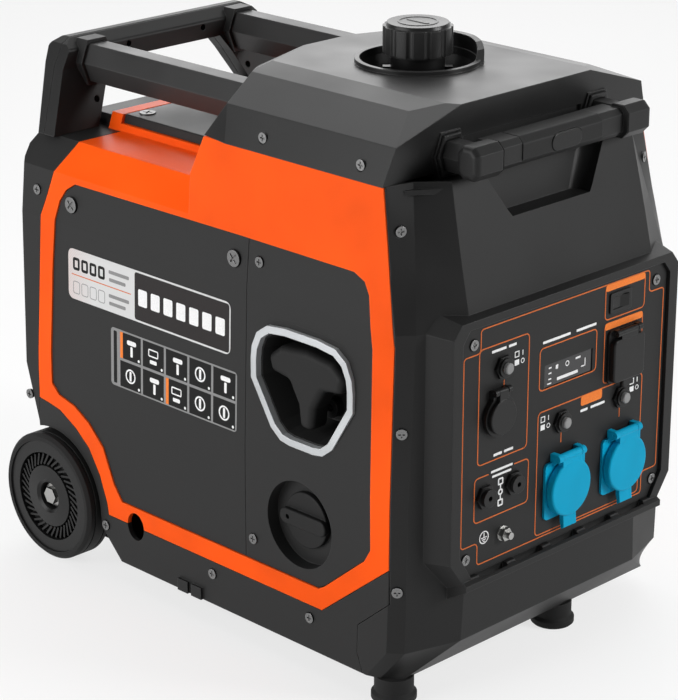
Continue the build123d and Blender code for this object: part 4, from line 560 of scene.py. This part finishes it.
# the shapes in a cell: how far across and up from its middle, size, corner and line
dialSign = {"radius": 6.6, "line": 1.5, "hand": (2.6, 9.0), "corner": 1.0}
screenSign = [(0, 2.5, (13, 7), 1.4, 1.2), (0, -5.5, (9, 3.4), 1.0, 0)]
teeSign = [(1.5, 4.4, (12, 4.2), 1.6, 0), (1.5, -3.4, (3.0, 9.4), 1.0, 0)]
dotSign = {"across": 11.0, "up": -9.4, "radius": 1.3, "sides": 12}
backing = doorPlate(*sheet["at"], sheet["size"], "vinyl", corner=sheet["corner"])
finishAs("door_sign_sheet", [backing], greyInk, "door")
margin = sheet["margin"]
cells = [doorPlate(*margin["at"], margin["size"], "print", corner=margin["corner"])]
signs, signTabs = [], []
for column in range(sheet["columns"]):
    for row in range(sheet["rows"]):
        x = sheet["first"][0] + sheet["step"][0] * column
        z = sheet["first"][1] - sheet["step"][1] * row
        cells.append(doorPlate(x, z, sheet["cell"], "print"))
        if (column, row) in sheet["tabCells"]:
            signTabs.append(doorPlate(x + sheet["tabAcross"], z,
                                      (sheet["tabWidth"], sheet["cell"][1]), "sign"))
        if (column, row) in sheet["dialCells"]:
            signs.append(doorRing(x, z, dialSign["radius"], dialSign["line"], "sign"))
            signs.append(doorPlate(x, z, dialSign["hand"], "sign", corner=dialSign["corner"]))
        else:
            shapes = screenSign if (column + row) % 2 else teeSign
            for across, up, size, corner, line in shapes:
                signs.append(doorPlate(x + across, z + up, size, "sign", corner=corner,
                                       line=line))
        signs.append(doorRing(x + dotSign["across"], z + dotSign["up"], dotSign["radius"],
                              dotSign["radius"], "sign", dotSign["sides"]))
finishAs("door_sign_cells", cells, blackInk, "door")
finishAs("door_sign_shapes", signs, whiteInk, "door")
finishAs("door_sign_tabs", signTabs, orangeTab, "door")
print("door labels done")

# starter rope: the straight stretch of braided cord between the pulley and the grip
ropeLow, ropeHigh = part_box("starter_rope")
ropeLook = {"radius": 2.2, "sides": 16, "cuts": 48, "strands": 8, "turns": 9, "groove": 0.1,
            "bend": 12, "tied": 12}   # bend: onto the pulley, left out; tied: held by the grip
ropeX = (ropeLow.x + ropeHigh.x) / 2
ropeZ = ropeHigh.z - ropeLook["radius"] * mm
ropeStart, ropeEnd = ropeHigh.y - ropeLook["bend"] * mm, ropeLow.y
ropeLength = ropeStart - ropeEnd
deselectAll()
bpy.ops.mesh.primitive_cylinder_add(vertices=ropeLook["sides"], radius=ropeLook["radius"] * mm,
                                    depth=ropeLength)
rope = bpy.context.object
bpy.ops.object.mode_set(mode="EDIT")
bpy.ops.mesh.select_mode(type="EDGE")
bpy.ops.mesh.select_all(action="DESELECT")
bpy.ops.object.mode_set(mode="OBJECT")
for line in rope.data.edges:
    a, b = (rope.data.vertices[i].co for i in line.vertices)
    line.select = abs(a.z - b.z) > ropeLength / 2
bpy.ops.object.mode_set(mode="EDIT")
bpy.ops.mesh.subdivide(number_cuts=ropeLook["cuts"])
bpy.ops.object.mode_set(mode="OBJECT")
for corner in rope.data.vertices:
    # strands wound round the core, with grooves between them
    angle = math.atan2(corner.co.y, corner.co.x)
    winding = 2 * math.pi * ropeLook["turns"] * corner.co.z / ropeLength
    between = 0.5 + 0.5 * math.cos(ropeLook["strands"] * angle + winding)
    corner.co.x *= 1.0 - ropeLook["groove"] * between
    corner.co.y *= 1.0 - ropeLook["groove"] * between
rope.name = "braided_rope"
setDown(rope, Vector((ropeX, (ropeStart + ropeEnd) / 2, ropeZ)), Euler((math.radians(90), 0, 0)))

# Braided polyester: matt black with a diagonal weave.
cordLook = {"colour": "#151515", "thread": "#3C3C3C", "pitch": 3.93, "depth": 0.2, "rough": 0.8}


def braidedCord():
    material, tree, shader = startMaterial("braided polyester cord")
    place = addNode(tree, "ShaderNodeTexCoord")
    scale = 2 * math.pi / (10 * cordLook["pitch"] * mm)
    weave = addNode(tree, "ShaderNodeTexWave", {"Scale": scale},
                    {"Vector": place.outputs["Object"]}, bands_direction="DIAGONAL")
    tone = addNode(tree, "ShaderNodeMix", {6: linear(cordLook["colour"]),
                   7: linear(cordLook["thread"])}, {0: weave.outputs["Fac"]}, data_type="RGBA")
    bump = addNode(tree, "ShaderNodeBump", {"Distance": cordLook["depth"] * mm},
                   {"Height": weave.outputs["Fac"]})
    tree.links.new(tone.outputs[2], shader.inputs["Base Color"])
    tree.links.new(bump.outputs["Normal"], shader.inputs["Normal"])
    shader.inputs["Roughness"].default_value = cordLook["rough"]
    return material


rope.data.materials.append(braidedCord())
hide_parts("starter_rope")
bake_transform(rope)
print("rope done")

# Pale studio floor: plain white paper for its own light, brighter where it is looked at.
floorLook = {"size": 14, "paper": "#D6D6D6", "seen": "#8C8C8C", "glow": 0.72}
deselectAll()
bpy.ops.mesh.primitive_plane_add(size=floorLook["size"], location=(0, 0, 0))
floor = bpy.context.object
floor.name = "floor"
floorMaterial, tree, shader = startMaterial("pale floor")
tree.nodes.remove(shader)
rays = addNode(tree, "ShaderNodeLightPath")
seen = addNode(tree, "ShaderNodeMath", None, {0: rays.outputs["Is Camera Ray"],
               1: rays.outputs["Is Glossy Ray"]}, operation="MAXIMUM")
seenToo = addNode(tree, "ShaderNodeMath", None, {0: seen.outputs["Value"],
                  1: rays.outputs["Is Transmission Ray"]}, operation="MAXIMUM")
matt = addNode(tree, "ShaderNodeBsdfDiffuse", {"Color": linear(floorLook["paper"])})
half = addNode(tree, "ShaderNodeBsdfDiffuse", {"Color": linear(floorLook["seen"])})
glow = addNode(tree, "ShaderNodeEmission", {"Color": (1, 1, 1, 1),
               "Strength": floorLook["glow"]})
bright = addNode(tree, "ShaderNodeAddShader", None, {0: half.outputs[0], 1: glow.outputs[0]})
both = addNode(tree, "ShaderNodeMixShader", None, {0: seenToo.outputs["Value"],
               1: matt.outputs[0], 2: bright.outputs[0]})
tree.links.new(both.outputs[0], tree.nodes["Material Output"].inputs["Surface"])
floor.data.materials.append(floorMaterial)

# The sky is white to the camera and lights the machine from one side only.
studio = {"towards": (-0.66, 0.71, 0.24), "dim": 0.16, "bright": 1.7, "from": 0.45, "to": 0.95}
world = bpy.data.worlds.new("studio")
scene.world = world
world.use_nodes = True
tree = world.node_tree
rays = addNode(tree, "ShaderNodeLightPath")
place = addNode(tree, "ShaderNodeTexCoord")
away = addNode(tree, "ShaderNodeVectorMath", {1: studio["towards"]},
               {0: place.outputs["Generated"]}, operation="DOT_PRODUCT")
level = addNode(tree, "ShaderNodeMapRange", {"From Min": studio["from"],
                "From Max": studio["to"], "To Min": studio["dim"], "To Max": studio["bright"]},
                {"Value": away.outputs["Value"]})
lightSky = tree.nodes["Background"]
tree.links.new(level.outputs["Result"], lightSky.inputs["Strength"])
lightSky.inputs["Color"].default_value = (1, 1, 1, 1)
whiteSky = addNode(tree, "ShaderNodeBackground", {"Color": (1, 1, 1, 1), "Strength": 1.0})
sky = addNode(tree, "ShaderNodeMixShader", None, {0: rays.outputs["Is Camera Ray"],
              1: lightSky.outputs[0], 2: whiteSky.outputs[0]})
tree.links.new(sky.outputs[0], tree.nodes["World Output"].inputs["Surface"])

lamps = [
    {"name": "key", "at": (-0.7, -2.4, 0.9), "size": 2.0, "power": 52},
    {"name": "fill", "at": (2.0, 1.1, 1.15), "size": 0.8, "power": 34},
    {"name": "top", "at": (-0.3, 0.3, 2.3), "size": 1.8, "power": 13},
    {"name": "rim", "at": (-1.6, 1.8, 1.5), "size": 1.4, "power": 8},
]
aim = Vector((0, 0, 0.25))
for lamp in lamps:
    deselectAll()
    bpy.ops.object.light_add(type="AREA", location=lamp["at"])
    light = bpy.context.object
    light.name = lamp["name"]
    light.data.size = lamp["size"]
    light.data.energy = lamp["power"]
    light.rotation_euler = (aim - Vector(lamp["at"])).to_track_quat("-Z", "Y").to_euler()

cameraSet = {"at": (1.4851, -1.4847, 0.9865), "look": (-0.6649, 0.6615, -0.3469),
             "lens": 129.75, "sensor": 36, "clip": 60}
deselectAll()
bpy.ops.object.camera_add(location=cameraSet["at"])
camera = bpy.context.object
camera.rotation_euler = Vector(cameraSet["look"]).to_track_quat("-Z", "Y").to_euler()
camera.data.lens = cameraSet["lens"]
camera.data.sensor_width = cameraSet["sensor"]
camera.data.clip_end = cameraSet["clip"]
scene.camera = camera
print("studio ready")
